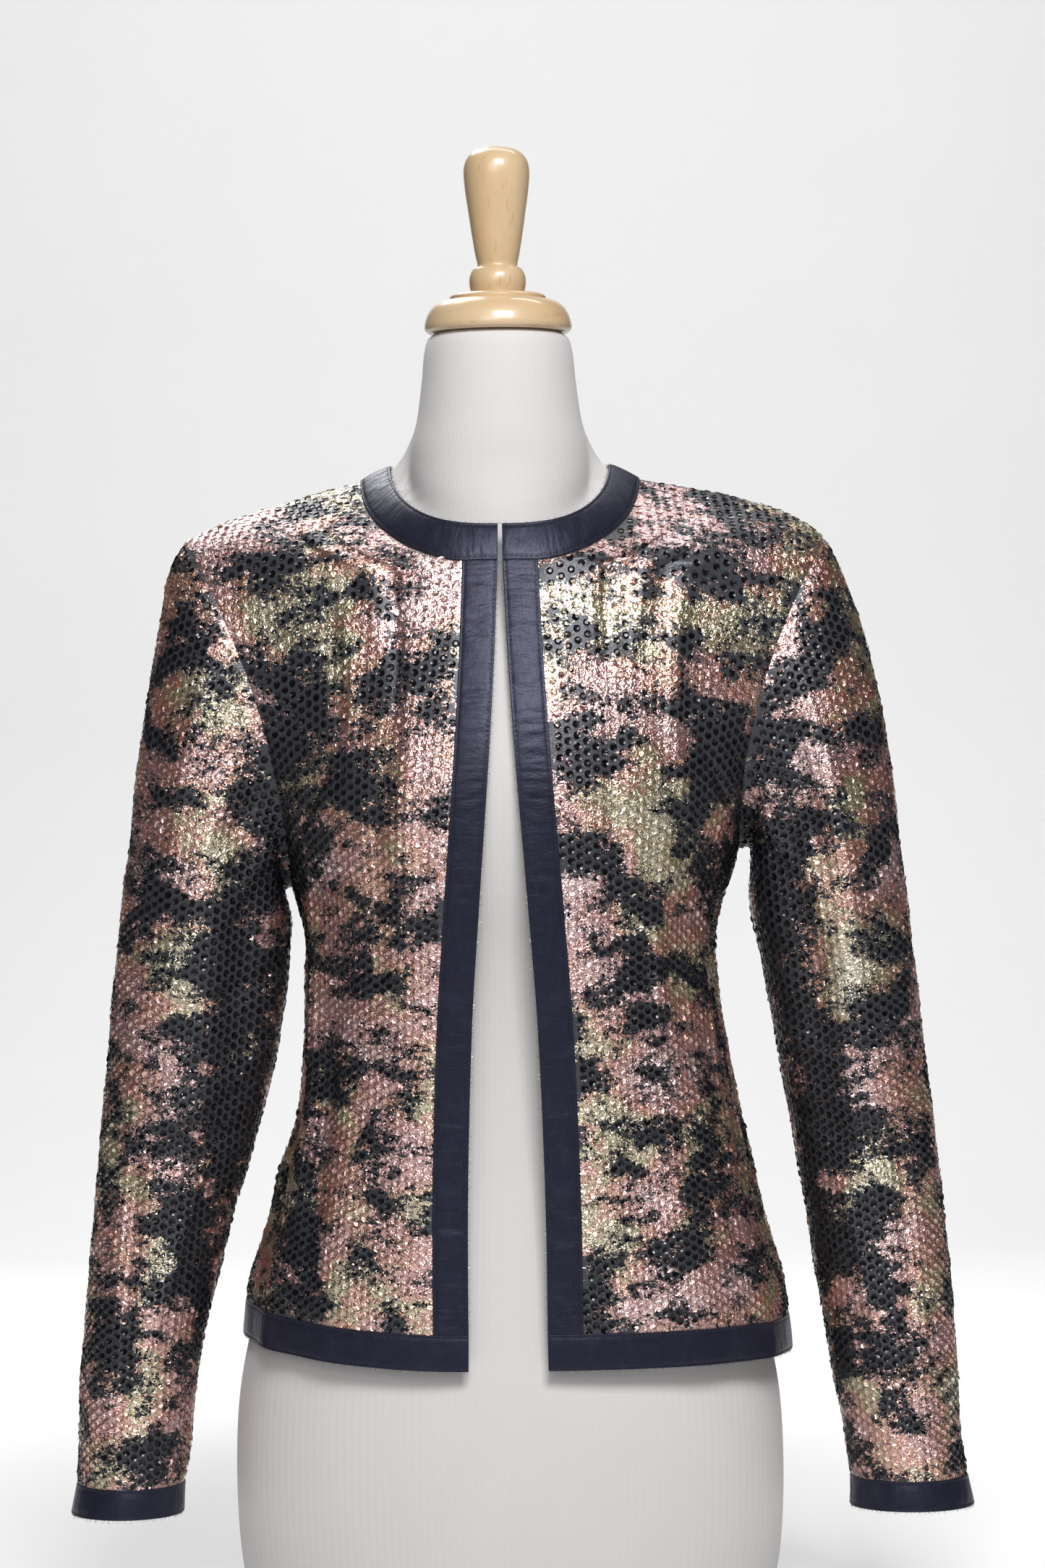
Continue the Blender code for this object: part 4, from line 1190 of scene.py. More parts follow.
def sequin_shape():
    """One cup sequin in millimetres: its points, faces, and how far out each point lies, 0 at its middle."""
    points, rings = [(0.0, 0.0, SEQUIN_SEAT)], [0.0]
    for radius, height in ((SEQUIN_FLOOR, SEQUIN_SEAT), (SEQUIN_RADIUS, SEQUIN_SEAT + SEQUIN_CUP)):
        for i in range(SEQUIN_SIDES):
            turn = 2 * math.pi * i / SEQUIN_SIDES
            points.append((radius * math.cos(turn), radius * math.sin(turn), height))
            rings.append(radius / SEQUIN_RADIUS)
    faces = []
    for i in range(SEQUIN_SIDES):
        k = (i + 1) % SEQUIN_SIDES
        faces.append((0, 1 + i, 1 + k))
        faces.append((1 + i, 1 + SEQUIN_SIDES + i, 1 + SEQUIN_SIDES + k))
        faces.append((1 + i, 1 + SEQUIN_SIDES + k, 1 + k))
    return np.array(points), np.array(faces), np.array(rings)


def sew_sequins(name, cloth, uvs, seed, finish):
    """Sequins in upright staggered columns on a cloth's flat cut, carried onto the worn cloth."""
    data = cloth.data
    triangles = [triangle.loops[:] for triangle in data.loop_triangles]
    flat_points = [Vector((u, v, 0.0)) for u, v in uvs]
    flat = BVHTree.FromPolygons(flat_points, triangles)
    low, high = uvs.min(axis=0), uvs.max(axis=0)
    across, pitch = COLUMN_PITCH * METRES, SEQUIN_PITCH * METRES
    room = EDGE_ROOM * METRES
    tries = [Vector((room * math.cos(turn), room * math.sin(turn), 0)) for turn in EDGE_WAYS]
    places = []
    for column in range(int((high[0] - low[0]) / across) + 2):
        for row in range(int((high[1] - low[1]) / pitch) + 2):
            spot = Vector((low[0] + column * across, low[1] + (row + column % 2 / 2) * pitch, 0.0))
            if any(flat.find_nearest(spot + away)[3] > ON_CLOTH for away in tries):
                continue
            _, _, face, gap = flat.find_nearest(spot)
            if gap < ON_CLOTH:
                places.append((spot, face))
    frames = [sewn_frame(data, flat_points, triangles[face], spot) for spot, face in places]
    template, faces, rings = sequin_shape()
    random = np.random.RandomState(seed)
    tilt = random.normal(0.0, SEQUIN_TILT, (len(frames), 2))
    spin = random.uniform(0, 2 * math.pi, len(frames))
    points = np.empty((len(frames), len(template), 3))
    cut = np.empty((len(frames), len(template), 2))
    for i, (seat, right, up, out) in enumerate(frames):
        cos, sin = math.cos(spin[i]), math.sin(spin[i])
        x = template[:, 0] * cos - template[:, 1] * sin
        y = template[:, 0] * sin + template[:, 1] * cos
        lean = x * tilt[i, 0] + y * tilt[i, 1]
        z = np.maximum(template[:, 2] + abs(lean) * 0.5 + lean, SEQUIN_LOWEST)
        local = np.outer(x, right) + np.outer(y, up) + np.outer(z, out)
        points[i] = np.array(seat) + local * METRES
        cut[i] = np.array(places[i][0])[:2] + np.stack([x, y], axis=1) * METRES
    return sequin_object(name, points, cut, faces, rings, random.uniform(0, 1, len(frames)), finish)


def sewn_frame(data, flat_points, loops, spot):
    """A place on the worn cloth for a spot on its flat cut: the point, and the ways right, up and out."""
    corners = [data.loops[loop].vertex_index for loop in loops]
    worn = [data.vertices[corner].co for corner in corners]
    flat = [flat_points[loop] for loop in loops]
    seat = barycentric_transform(spot, *flat, *worn)
    aside = barycentric_transform(spot + Vector((METRES, 0, 0)), *flat, *worn)
    out = sum((data.vertices[corner].normal for corner in corners), Vector()).normalized()
    right = (aside - seat).normalized()
    up = out.cross(right).normalized()
    return seat, up.cross(out), up, out


def sequin_object(name, points, cut, faces, rings, shades, finish):
    """All sequins of a piece as one mesh. Each point knows how far out it lies and its own sequin's shade."""
    count, size = points.shape[0], points.shape[1]
    all_faces = (faces[None, :, :] + (np.arange(count) * size)[:, None, None]).reshape(-1, 3)
    obj = new_object(name, points.reshape(-1, 3), all_faces.tolist(), finish)
    lay_out(obj, cut.reshape(-1, 2)[all_faces.ravel()])
    for name, values in (("ring", np.tile(rings, count)), ("shade", np.repeat(shades, size))):
        obj.data.attributes.new(name, "FLOAT", "POINT").data.foreach_set("value", values)
    return obj


# Satin bands


def satin_relief(along, across, width, seed):
    """How far the satin stands out at a place: puckers between its stitch rows, a groove along each."""
    from_edge = min(across, width - across)
    from_stitch = from_edge - STITCH_INSET
    between = smooth_step(from_stitch / PUCKER_FADE)
    swell = abs(noise.noise(Vector((along / PUCKER_SWELL_SIZE, seed, 0.0))))
    turned_aside = PUCKER_SLANT * noise.noise(Vector((along / PUCKER_SLANT_SIZE, seed, 5.0)))
    slant = along + (across - width / 2) * turned_aside
    broad = noise.noise(Vector((slant / PUCKER_SIZE, across / PUCKER_ACROSS, seed)))
    fine = noise.noise(Vector((slant / FINE_PUCKER_SIZE, across / FINE_PUCKER_ACROSS, seed + 7.0)))
    near_stitches = math.exp(-(((from_stitch - FINE_PUCKER_PLACE) / FINE_PUCKER_HALF_WIDTH) ** 2))
    groove = math.exp(-((from_stitch / GROOVE_HALF_WIDTH) ** 2))
    edge = smooth_step(from_edge / STITCH_INSET) - 1
    pucker = broad * between + fine * FINE_PUCKER_SHARE * near_stitches
    pucker *= (PUCKER_LEAST + PUCKER_SWELL * swell) * PUCKER_RISE
    return pucker - groove * STITCH_GROOVE + edge * EDGE_ROLL + BAND_CROWN * between


def satin_band(name, sections, width, seed, ring, finish):
    """A satin strip over its cross-sections, each from free edge to seam, with its lines and length."""
    count, wide = len(sections), len(sections[0])
    after = [(k + 1) % count if ring else min(k + 1, count - 1) for k in range(count)]
    before = [k - 1 if k or ring else 0 for k in range(count)]
    lengths = [0.0]
    for k in range(count if ring else count - 1):
        lengths.append(lengths[-1] + (sections[after[k]][wide // 2] - sections[k][wide // 2]).length)
    middle = sum((section[wide // 2] for section in sections), Vector()) / count
    middle.z -= BAND_INSIDE_DROP
    points, ways = [], []
    for k, section in enumerate(sections):
        for j, point in enumerate(section):
            ahead = sections[after[k]][j] - sections[before[k]][j]
            aside = section[min(j + 1, wide - 1)] - section[max(j - 1, 0)]
            ways.append(ahead.cross(aside).normalized())
            points.append(point)
    flip = sum(way.dot((point - middle).normalized()) for way, point in zip(ways, points)) < 0
    for i, way in enumerate(ways):
        if flip:
            way.negate()
        k, j = divmod(i, wide)
        rise = BAND_RISE + satin_relief(lengths[k], BAND_SHARES[j] * width, width, seed)
        points[i] = points[i] + way * rise
    faces, cut = [], []
    for k in range(count if ring else count - 1):
        for j in range(wide - 1):
            corners = [(k, j), (after[k], j), (after[k], j + 1), (k, j + 1)]
            flat = [(lengths[k], j), (lengths[k + 1], j), (lengths[k + 1], j + 1), (lengths[k], j + 1)]
            if flip:
                corners, flat = corners[::-1], flat[::-1]
            faces.append([row * wide + column for row, column in corners])
            cut += [(along * METRES, BAND_SHARES[column] * width * METRES) for along, column in flat]
    obj = new_object(name, [placed(point) for point in points], faces, finish)
    lay_out(obj, cut)
    off_edge = [(points[k * wide] - points[k * wide + 1]).normalized() for k in range(count)]
    lines = {}
    for j in (0,) + STITCH_COLUMNS:
        line = [(points[k * wide + j], ways[k * wide + j], off_edge[k]) for k in range(count)]
        lines[j] = line + line[:1] if ring else line
    return obj, lines, lengths[-1]


def walk(line, pitch):
    """Places every pitch along a line of (point, out, away): the point, and the ways along, out and away."""
    left = pitch / 2
    for (start, out, away), (end, _, _) in zip(line, line[1:]):
        step = end - start
        length = step.length
        while left < length:
            yield start + step * (left / length), step.normalized(), out, away
            left += pitch
        left -= length


def stitching(name, lines, finish):
    """Thread stitches along lines on a band, each a small rounded bar."""
    points, faces = [], []
    for line in lines:
        for place, along, out, _ in walk(line, STITCH_PITCH):
            aside = along.cross(out).normalized()
            first = len(points)
            for share, thick in STITCH_RINGS:
                middle = place + along * STITCH_LENGTH * share + out * STITCH_LIFT
                if not thick:
                    points.append(placed(middle))
                    continue
                for turn in range(4):
                    angle = math.pi / 2 * turn
                    reach_out = out * math.sin(angle) + aside * math.cos(angle)
                    points.append(placed(middle + reach_out * STITCH_RADIUS))
            for i in range(4):
                k = (i + 1) % 4
                faces.append((first, first + 1 + k, first + 1 + i))
                faces.append((first + 1 + i, first + 1 + k, first + 5 + k, first + 5 + i))
                faces.append((first + 5 + i, first + 5 + k, first + 9))
    obj = new_object(name, points, faces, finish)
    obj.data.shade_smooth()
    return obj


def frayed_fibres(name, line, seed, finish):
    """Short curled fibres of the cut net that show past a satin band's free edge."""
    random = np.random.RandomState(seed)
    points, faces = [], []
    for place, along, out, away in walk(line, FIBRE_PITCH):
        length, lean = random.uniform(*FIBRE_LENGTH), random.uniform(*FIBRE_LEAN)
        curl, lift = random.uniform(*FIBRE_CURL), random.uniform(*FIBRE_LIFT)
        first = len(points)
        for share in (0.0, 0.5, 1.0):
            middle = place - out * FIBRE_SUNK + away * length * (share - FIBRE_INSIDE) + out * lift * share
            middle += along * (lean * share + curl * share * share) * length
            thick = FIBRE_THICK * (1 - FIBRE_TAPER * share)
            for turn in range(FIBRE_SIDES):
                angle = 2 * math.pi * turn / FIBRE_SIDES
                points.append(placed(middle + (out * math.sin(angle) + along * math.cos(angle)) * thick))
        for start in (first, first + FIBRE_SIDES):
            end = start + FIBRE_SIDES
            for i in range(FIBRE_SIDES):
                k = (i + 1) % FIBRE_SIDES
                faces.append((start + i, start + k, end + k, end + i))
        faces.append((first + 2, first + 1, first))
        faces.append((first + 6, first + 7, first + 8))
    obj = new_object(name, points, faces, finish)
    edit_all(obj, lambda: bpy.ops.mesh.normals_make_consistent(inside=False))
    return obj


# The dress form


def form_cover(finish):
    """The jersey-covered form: the same ovals as its solid, in finer steps."""
    low, high = FORM_SECTIONS[0][0], FORM_SECTIONS[-1][0]
    steps = round((high - low) / FORM_LEVEL)
    heights = sorted({low + (high - low) * i / steps for i in range(steps + 1)} | FORM_EDGES)
    points, faces, cut = [], [], []
    for height in heights:
        points += [placed(point) for point in form_ring(height)]
    for i in range(len(heights) - 1):
        for j in range(FORM_ROUND):
            k = (j + 1) % FORM_ROUND
            below, above = i * FORM_ROUND, (i + 1) * FORM_ROUND
            faces.append((below + j, below + k, above + k, above + j))
            for level, column in ((i, j), (i, j + 1), (i + 1, j + 1), (i + 1, j)):
                cut.append((column / FORM_ROUND * FORM_GIRTH * METRES, heights[level] * METRES))
    top = (len(heights) - 1) * FORM_ROUND
    faces.append([j for j in reversed(range(FORM_ROUND))])
    faces.append([top + j for j in range(FORM_ROUND)])
    cut += [(0.0, 0.0)] * FORM_ROUND + [(0.0, high * METRES)] * FORM_ROUND
    obj = new_object("form_cover", points, faces, finish)
    lay_out(obj, cut)
    select_only(obj)
    bpy.ops.object.shade_smooth_by_angle(angle=math.radians(SMOOTH_BELOW))
    return obj


def turned(name, profile, finish):
    """A turned piece: its profile spun round the form's axis and its corners eased."""
    line = [(0.0, profile[0][1])] + list(profile) + [(0.0, profile[-1][1])]
    points = [placed(Vector((radius, 0, height))) for radius, height in line]
    obj = new_object(name, points, [], finish, [(i, i + 1) for i in range(len(points) - 1)])
    whole, axis = 2 * math.pi, (0, 0, 1)
    edit_all(
        obj,
        lambda: bpy.ops.mesh.spin(steps=TURNED_ROUND, angle=whole, center=placed(Vector()), axis=axis),
        lambda: bpy.ops.mesh.remove_doubles(threshold=0.00001),
        lambda: bpy.ops.mesh.normals_make_consistent(inside=False),
    )
    bpy.ops.object.shade_smooth_by_angle(angle=math.radians(TURNED_SMOOTH_BELOW))
    return obj


def eased(profile):
    """A turned profile with a smooth curve through its points, so that its beads are round."""
    fine = []
    for k in range(len(profile) - 1):
        before, start = Vector(profile[max(k - 1, 0)]), Vector(profile[k])
        end, after = Vector(profile[k + 1]), Vector(profile[min(k + 2, len(profile) - 1)])
        handle_in, handle_out = start + (end - before) / 6, end - (after - start) / 6
        for i in range(TURNED_FINE):
            fine.append(tuple(bezier(start, handle_in, handle_out, end, i / TURNED_FINE)))
    return fine + [profile[-1]]


# Finishes


def new_finish(name):
    material = bpy.data.materials.new(name)
    material.use_nodes = True
    tree = material.node_tree
    return material, tree, tree.nodes["Principled BSDF"]


def add(tree, kind, inputs=None, **settings):
    """A node with its settings, and its inputs given as values or as other nodes' outputs."""
    node = tree.nodes.new("ShaderNode" + kind)
    for key, value in settings.items():
        setattr(node, key, value)
    give(tree, node, inputs or {})
    return node


def give(tree, node, inputs):
    """Gives sockets other nodes' outputs or fixed values. A fixed colour comes without its alpha."""
    for name, value in inputs.items():
        socket = node.inputs[name]
        if isinstance(value, bpy.types.NodeSocket):
            tree.links.new(value, socket)
        else:
            socket.default_value = (*value, 1) if socket.type == "RGBA" else value


def maths(tree, operation, a, b=0.0):
    return add(tree, "Math", {0: a, 1: b}, operation=operation).outputs[0]


def plus(tree, a, b):
    return maths(tree, "ADD", a, b)


def minus(tree, a, b):
    return maths(tree, "SUBTRACT", a, b)


def times(tree, a, b):
    return maths(tree, "MULTIPLY", a, b)


def vectors(tree, operation, a, b, output=0):
    return add(tree, "VectorMath", {0: a, 1: b}, operation=operation).outputs[output]


def blend_colours(tree, share, a, b):
    return add(tree, "Mix", {0: share, 6: a, 7: b}, data_type="RGBA").outputs[2]


def mapped(tree, value, low, high, to_low=0.0, to_high=1.0, smooth=True):
    kind = "SMOOTHSTEP" if smooth else "LINEAR"
    inputs = {"Value": value, "From Min": low, "From Max": high, "To Min": to_low, "To Max": to_high}
    return add(tree, "MapRange", inputs, interpolation_type=kind).outputs[0]


def evenly(tree, share, low, high):
    """A value that goes evenly from low to high."""
    return mapped(tree, share, 0, 1, low, high, smooth=False)


def cut_place(tree, scale=(1, 1, 1), shift=(0, 0, 0)):
    """A place on the cloth's flat cut, in metres, stretched and shifted."""
    place = add(tree, "UVMap", uv_map="cut").outputs[0]
    return add(tree, "Mapping", {"Vector": place, "Location": shift, "Scale": scale}).outputs[0]


def object_place(tree):
    return add(tree, "TexCoord").outputs["Object"]


def cloud(tree, place, scale, detail=2.0, roughness=0.5, distortion=0.0):
    inputs = {"Vector": place, "Scale": scale, "Detail": detail, "Roughness": roughness}
    return add(tree, "TexNoise", {**inputs, "Distortion": distortion}).outputs[0]


def roughened(tree, value, noise_value, amount):
    """A value that a cloud makes more or less."""
    return plus(tree, value, times(tree, minus(tree, noise_value, 0.5), amount))


def set_relief(tree, shader, height, strength=1.0, distance=1.0, sockets=("Normal",)):
    bump = add(tree, "Bump", {"Height": height, "Strength": strength, "Distance": distance}).outputs[0]
    give(tree, shader, {socket: bump for socket in sockets})


def painted_underarm_shade(tree):
    """Painted shade where sleeve and body shade each other: a band under each arm that leans out downwards.
    """
    place = add(tree, "SeparateXYZ", {0: object_place(tree)}).outputs
    lean = times(tree, minus(tree, UNDERARM_SHADE_TOP, place[2]), UNDERARM_SHADE_LEAN)
    aside = minus(tree, maths(tree, "ABSOLUTE", place[0]), plus(tree, lean, UNDERARM_SHADE_ASIDE))
    band = mapped(tree, maths(tree, "ABSOLUTE", aside), 0.0, UNDERARM_SHADE_HALF_WIDTH, 1.0, 0.0)
    below = mapped(tree, place[2], UNDERARM_SHADE_TOP, UNDERARM_SHADE_TOP + UNDERARM_SHADE_TOP_FADE, 1.0, 0.0)
    above = mapped(tree, place[2], UNDERARM_SHADE_FOOT, UNDERARM_SHADE_FOOT + UNDERARM_SHADE_FOOT_FADE)
    return times(tree, band, times(tree, below, above))


def foil_print(tree):
    """The worn foil print on the flat cut, thinned under the arms as painted shade: how much foil there is,
    and its colour.
    """
    patches = cloud(tree, cut_place(tree, scale=(0.9, 1.15, 1)), *FOIL_PATCHES)
    streaks = cloud(tree, cut_place(tree, scale=(0.65, 1.6, 1), shift=(5, 2, 0)), *FOIL_STREAKS)
    speckle = cloud(tree, cut_place(tree), *FOIL_SPECKLE)
    crumbs = cloud(tree, cut_place(tree, shift=(3, 1, 0)), *FOIL_CRUMBS)
    level = roughened(tree, patches, streaks, STREAK_RAG)
    level = roughened(tree, level, speckle, SPECKLE_RAG)
    level = roughened(tree, level, crumbs, CRUMB_RAG)
    # Painted shade: less foil under the arms, so that the dark net shows where sleeve and body shade each
    # other
    level = minus(tree, level, times(tree, painted_underarm_shade(tree), UNDERARM_SHADE_STRENGTH))
    foil = mapped(tree, level, FOIL_LEVEL - FOIL_EDGE, FOIL_LEVEL + FOIL_EDGE)
    tone = cloud(tree, cut_place(tree, scale=(0.9, 1.1, 1), shift=(7, 3, 0)), *FOIL_TONE)
    fine_tone = cloud(tree, cut_place(tree, shift=(1, 5, 0)), *FOIL_FINE_TONE)
    ramp = add(tree, "ValToRGB", {"Fac": roughened(tree, tone, fine_tone, TONE_RAG)})
    stops = ramp.color_ramp
    for k, (position, colour) in enumerate(FOIL_COLOURS):
        stop = stops.elements[k] if k < 2 else stops.elements.new(position)
        stop.position = position
        stop.color = (*colour, 1)
    return foil, ramp.outputs[0]


def crinkle(tree, size, shift):
    """A height of small rounded grains, each tilted its own way, with fine winding wrinkles over them."""
    place = cut_place(tree, shift=shift)
    cell = add(tree, "TexVoronoi", {"Vector": place, "Scale": 1 / size}, voronoi_dimensions="2D")
    middle = vectors(tree, "SUBTRACT", place, cell.outputs["Position"])
    way = vectors(tree, "SUBTRACT", cell.outputs["Color"], (0.5, 0.5, 0.5))
    tilt = times(tree, vectors(tree, "DOT_PRODUCT", middle, way, "Value"), GRAIN_SLOPE)
    dome = times(tree, vectors(tree, "DOT_PRODUCT", middle, middle, "Value"), GRAIN_ROUND / size)
    wrinkles = times(tree, cloud(tree, cut_place(tree), *FOIL_WRINKLES), WRINKLE_HEIGHT)
    return plus(tree, wrinkles, minus(tree, tilt, dome))


def set_foil(tree, shader, foil, colour, plain, roughness, height):
    """Foil over a plain ground, whose colour, roughness and height show where there is none."""
    give(tree, shader, {
        "Base Color": blend_colours(tree, foil, plain, colour),
        "Metallic": times(tree, foil, FOIL_METAL),
        "Roughness": roughness,
        "Coat Weight": times(tree, foil, FOIL_COAT),
        **COAT_LOOK,
    })
    set_relief(tree, shader, height, sockets=("Normal", "Coat Normal"))


def net_finish():
    """Dark slate net with worn metal foil on it."""
    material, tree, shader = new_finish("foiled_net")
    foil, colour = foil_print(tree)
    threads = cloud(tree, cut_place(tree), *NET_THREADS)
    plain = blend_colours(tree, threads, NET_DARK, NET_LIGHT)
    height = times(tree, crinkle(tree, NET_GRAIN, (2, 2, 0)), evenly(tree, foil, 0.35, 1.0))
    height = plus(tree, height, times(tree, threads, THREAD_HEIGHT))
    set_foil(tree, shader, foil, colour, plain, evenly(tree, foil, 0.40, FOIL_ROUGHNESS), height)
    give(tree, shader, {"Specular IOR Level": 0.6, "Specular Tint": (0.90, 0.92, 1.0)})
    return material


def sequin_finish():
    """Glossy black cup sequins, with the same foil on those that the print covers."""
    material, tree, shader = new_finish("black_sequins")
    foil, colour = foil_print(tree)
    ring = add(tree, "Attribute", attribute_name="ring").outputs["Fac"]
    shade = add(tree, "Attribute", attribute_name="shade").outputs["Fac"]
    plain = blend_colours(tree, shade, SEQUIN_DARK, SEQUIN_LIGHT)
    plain = blend_colours(tree, mapped(tree, ring, 0.10, 0.20, 1.0, 0.0), plain, SEQUIN_THREAD)
    glossy = evenly(tree, shade, 0.10, 0.24)
    roughness = add(tree, "Mix", {0: foil, 2: glossy, 3: FOIL_ROUGHNESS}).outputs[0]
    height = times(tree, crinkle(tree, SEQUIN_GRAIN, (6, 3, 0)), evenly(tree, foil, 0.08, 1.0))
    set_foil(tree, shader, foil, colour, plain, roughness, height)
    give(tree, shader, {"Specular IOR Level": 0.35})
    return material


def satin_finish():
    """Dark navy satin with soft lengthwise streaks: painted sheen in its colour, and real gloss in its
    roughness.
    """
    material, tree, shader = new_finish("navy_satin")
    sheen_streaks = cloud(tree, cut_place(tree, scale=(0.12, 1, 1)), *SATIN_SHEEN_STREAKS)
    worn = mapped(tree, cloud(tree, cut_place(tree), *SATIN_WEAR), 0.45, 0.75, 0, 0.5)
    # Painted sheen: the satin is lighter along its lengthwise streaks, which also change its roughness
    colour = blend_colours(tree, sheen_streaks, SATIN_DARK, SATIN_PAINTED_SHEEN)
    give(tree, shader, {
        "Base Color": blend_colours(tree, worn, colour, SATIN_WORN),
        "Roughness": mapped(tree, sheen_streaks, 0.2, 0.8, 0.34, 0.46, smooth=False),
        "Sheen Weight": 0.06,
        "Sheen Roughness": 0.3,
        "Sheen Tint": (0.6, 0.65, 0.85),
        "Specular IOR Level": 0.3,
        "Specular Tint": (0.70, 0.72, 0.95),
    })
    weave = cloud(tree, cut_place(tree, scale=(0.25, 1, 1)), *SATIN_WEAVE)
    creased = cloud(tree, cut_place(tree, scale=(1, 0.35, 1)), *SATIN_CREASES)
    set_relief(tree, shader, plus(tree, times(tree, weave, 0.00004), times(tree, creased, 0.0005)))
    return material


def thread_finish():
    """Dark sewing thread, a little lighter from strand to strand."""
    material, tree, shader = new_finish("dark_thread")
    strand = cloud(tree, object_place(tree), *THREAD_STRANDS)
    colour = blend_colours(tree, strand, THREAD_DARK, THREAD_LIGHT)
    give(tree, shader, {"Base Color": colour, "Roughness": 0.6})
    return material


def fibre_finish():
    """Cut fibres of the net, dark with a few metal glints."""
    material, tree, shader = new_finish("net_fibres")
    glint = mapped(tree, cloud(tree, object_place(tree), *FIBRE_GLINTS), 0.56, 0.62)
    colour = blend_colours(tree, glint, FIBRE_DARK, FIBRE_GLINT)
    give(tree, shader, {"Base Color": colour, "Metallic": glint, "Roughness": 0.4})
    return material


def waves(tree, place, scale, distortion, detail, detail_scale, direction):
    inputs = {"Vector": place, "Scale": scale, "Distortion": distortion, "Detail": detail}
    inputs["Detail Scale"] = detail_scale
    return add(tree, "TexWave", inputs, wave_type="BANDS", bands_direction=direction).outputs["Fac"]


def jersey_finish():
    """Off-white jersey with fine upright ribs, painted shade in the grooves between them, and a slight
    unevenness.
    """
    material, tree, shader = new_finish("ribbed_jersey")
    ribs = waves(tree, cut_place(tree), RIBS_PER_METRE / 20, 0.4, 1.0, 3.0, "X")
    rows = cloud(tree, cut_place(tree, scale=(0.15, 1, 1)), *JERSEY_ROWS)
    stain = cloud(tree, cut_place(tree), *JERSEY_STAINS)
    colour = blend_colours(tree, stain, JERSEY_SHADE, JERSEY_LIGHT)
    # Painted shade: the jersey is darker in the grooves between its ribs
    groove = times(tree, minus(tree, 1.0, ribs), 0.10)
    give(tree, shader, {
        "Base Color": blend_colours(tree, groove, colour, JERSEY_GROOVE_SHADE),
        "Roughness": 0.9,
        "Sheen Weight": 0.15,
        "Sheen Roughness": 0.6,
    })
    height = plus(tree, times(tree, ribs, 0.00009), times(tree, rows, 0.00005))
    set_relief(tree, shader, height, strength=0.8)
    return material


def beech_finish(name, stretch, shift):
    """Pale varnished beech. stretch gives the way of its grain."""
    material, tree, shader = new_finish(name)
    place = {"Vector": object_place(tree), "Scale": stretch, "Location": shift}
    place = add(tree, "Mapping", place).outputs[0]
    streaks = cloud(tree, place, *BEECH_STREAKS)
    flecks = mapped(tree, cloud(tree, place, *BEECH_FLECKS), 0.60, 0.70)
    rings = waves(tree, place, 1.4, 5.0, 3.0, 1.6, "DIAGONAL")
    colour = blend_colours(tree, streaks, BEECH_DARK, BEECH_LIGHT)
    colour = blend_colours(tree, times(tree, rings, 0.28), colour, BEECH_RING)
    colour = blend_colours(tree, times(tree, flecks, 0.35), colour, BEECH_FLECK)
    give(tree, shader, {
        "Base Color": colour,
        "Roughness": evenly(tree, streaks, 0.32, 0.44),
        "Coat Weight": 0.6,
        "Coat Roughness": 0.14,
    })
    set_relief(tree, shader, streaks, strength=0.25, distance=0.0006)
    return material


# Setting


def add_backdrop():
    """A pale floor that curves up behind the form."""
    profile = [(-FLOOR_AHEAD, 0.0)]
    for i in range(BACKDROP_FINE + 1):
        turn = math.pi / 2 * i / BACKDROP_FINE
        profile.append((FLOOR_BACK + BACKDROP_BEND * math.sin(turn), BACKDROP_BEND * (1 - math.cos(turn))))
    profile.append((FLOOR_BACK + BACKDROP_BEND, BACKDROP_HEIGHT))
    points = [(x, y, z) for y, z in profile for x in (-BACKDROP_HALF_WIDTH, BACKDROP_HALF_WIDTH)]
    faces = [(2 * i, 2 * i + 1, 2 * i + 3, 2 * i + 2) for i in range(len(profile) - 1)]
    material, tree, shader = new_finish("pale_paper")
    grain = cloud(tree, object_place(tree), *PAPER_GRAIN)
    give(tree, shader, {"Base Color": blend_colours(tree, grain, PAPER_DARK, PAPER_LIGHT), "Roughness": 0.9})
    floor = new_object("backdrop", points, faces, material)
    floor.data.shade_smooth()
    floor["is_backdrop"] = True


def add_soft_light(name, place, target, size, watts):
    data = bpy.data.lights.new(name, "AREA")
    data.shape = "RECTANGLE"
    data.size, data.size_y = size
    data.energy = watts
    light = bpy.data.objects.new(name, data)
    light.location = place
    light.rotation_mode = "QUATERNION"
    light.rotation_quaternion = (Vector(target) - Vector(place)).to_track_quat("-Z", "Y")
    bpy.context.scene.collection.objects.link(light)


def add_lights():
    """Soft lights, and a white surround that the camera sees brighter than the light it gives."""
    world = bpy.data.worlds.new("studio")
    world.use_nodes = True
    tree = world.node_tree
    seen = add(tree, "LightPath").outputs["Is Camera Ray"]
    strength = evenly(tree, seen, WORLD_LIGHT, WORLD_SEEN)
    give(tree, tree.nodes["Background"], {"Color": (1, 1, 1), "Strength": strength})
    bpy.context.scene.world = world
    for light in LIGHTS:
        add_soft_light(*light)


def add_camera():
    """The photograph's camera: straight in front, level, and turned slightly about its own axis."""
    data = bpy.data.cameras.new("photo_camera")
    data.sensor_width = SENSOR
    data.lens = SENSOR * CAMERA_DISTANCE / CAMERA_HEIGHT_SEEN
    camera = bpy.data.objects.new("photo_camera", data)
    camera.location = CAMERA_CENTRE + Vector((0, -CAMERA_DISTANCE, 0))
    camera.rotation_mode = "QUATERNION"
    level = Vector((0, 1, 0)).to_track_quat("-Z", "Y")
    camera.rotation_quaternion = level @ Quaternion((0, 0, 1), math.radians(CAMERA_ROLL))
    bpy.context.scene.collection.objects.link(camera)
    bpy.context.scene.camera = camera


# Putting the pieces together


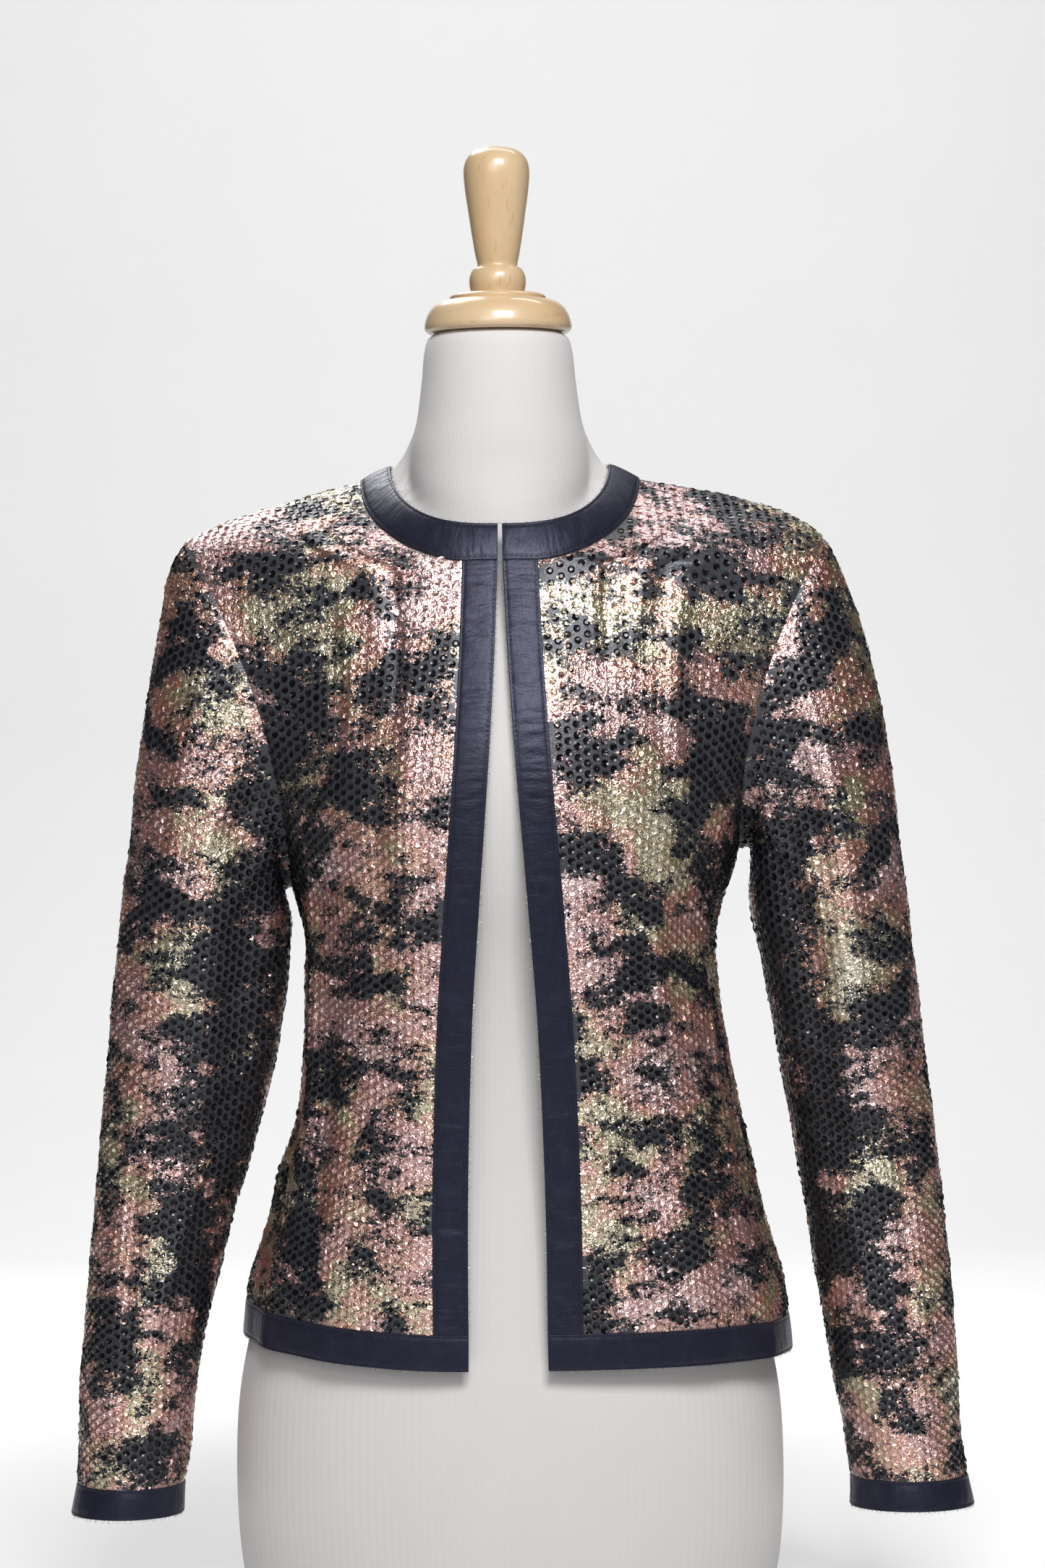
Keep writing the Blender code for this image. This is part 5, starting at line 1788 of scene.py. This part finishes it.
def cloth_quads():
    """The quads of every cloth piece, and the seam edges and the upright line that its flat cut needs."""
    quads, seams, uprights = {"back": []}, {}, {}
    for side in SIDES:
        flip = side == "right"
        front, back, arm = front_rows(side), back_rows(side), sleeve_rows(side)
        quads["front_" + side] = quads_of(front, flip=flip)
        uprights["front_" + side] = (front[0][0], front[SKIRT_STEPS * CLOTH_FINE][0])
        quads["back"] += quads_of(back, flip=not flip)
        uprights["back"] = (back[0][0], back[SKIRT_STEPS * CLOTH_FINE][0])
        quads["sleeve_" + side] = quads_of(arm, ring=True, flip=flip)
        under = armhole_angles(CLOTH_FINE).index(180.0)
        seams["sleeve_" + side] = [(ring[under], after[under]) for ring, after in zip(arm, arm[1:])]
        uprights["sleeve_" + side] = (arm[-1][0], arm[0][0])
    return quads, seams, uprights


def dress_cloth(net, sequins):
    """The five pieces of net, each with its sequins. The sequins are sewn before the net gets its wall."""
    quads, seams, uprights = cloth_quads()
    normals = normals_of(quads)
    for k, name in enumerate(quads):
        skin, vertex = cloth_skin("cloth_" + name, quads[name], normals, net)
        seam_edges = {frozenset(vertex[place_of(point)] for point in ends) for ends in seams.get(name, ())}
        foot, head = (vertex[place_of(point)] for point in uprights[name])
        uvs, flat, area = lay_flat(skin, seam_edges, foot, head, (CUT_SPACING * k, 0.0))
        skin.data.update()
        scales = sew_sequins("sequins_" + name, skin, uvs, SEQUIN_SEED + k, sequins)
        take_place(scales, "sequin_cloth")
        give_wall(skin, NET_WALL)
        take_place(skin, "sequin_cloth", name)
        held = "hung" if "sleeve" in name else "draped"


def band_sections():
    """The cross-sections of every satin band, and whether it closes in a ring."""
    fronts = {side: front_band_rows(side) for side in SIDES}
    bands = {"front_band_" + side: (fronts[side], BAND_WIDTH, False) for side in SIDES}
    necks = {side: neck_rows(side) for side in SIDES}
    bands["neck_band"] = (necks["right"] + necks["left"][-2::-1], BAND_WIDTH, False)
    quarters = []
    for side, faces in (("right", ("front", "back")), ("left", ("back", "front"))):
        for face, way in zip(faces, (1, -1)):
            quarters.append([list(section) for section in zip(*hem_rows(side, face))][::way])
    hem = quarters[0] + [section for quarter in quarters[1:] for section in quarter[1:]]
    bands["hem_band"] = (hem, BAND_WIDTH, False)
    for side in SIDES:
        bands["cuff_band_" + side] = ([list(section) for section in zip(*cuff_rows(side))], CUFF_WIDTH, True)
    return bands


def dress_bands(satin, thread, fibres):
    """The satin bands, each with its stitches and the frayed fibres on its free edge."""
    for seed, (name, (sections, width, ring)) in enumerate(band_sections().items()):
        band, lines, length = satin_band("satin_" + name, sections, width, seed * BAND_SEED, ring, satin)
        stitches = stitching("stitches_" + name, [lines[column] for column in STITCH_COLUMNS], thread)
        take_place(stitches, "satin")
        fray = frayed_fibres("fray_" + name, lines[0], FIBRE_SEED + seed, fibres)
        take_place(fray, "satin")
        give_wall(band, SATIN_WALL, SATIN_ROUNDING)
        take_place(band, "satin", name)


def dress_form():
    """The form's jersey cover, and the turned cap and grip."""
    cover = form_cover(jersey_finish())
    take_place(cover, "jersey", "form_body")
    cap = turned("turned_cap", eased(CAP_PROFILE), beech_finish("beech_cap", *CAP_GRAIN))
    take_place(cap, "beech", "neck_cap")
    grip = turned("turned_grip", eased(HANDLE_PROFILE), beech_finish("beech_grip", *GRIP_GRAIN))
    take_place(grip, "beech", "cap_handle")


dress_form()
dress_cloth(net_finish(), sequin_finish())
dress_bands(satin_finish(), thread_finish(), fibre_finish())
add_backdrop()
add_lights()
add_camera()
bpy.context.scene.view_settings.view_transform = "Standard"
boxes = {"cad": CAD_BOX, "visual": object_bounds()}
{name: [list(corner) for corner in box] for name, box in boxes.items()}
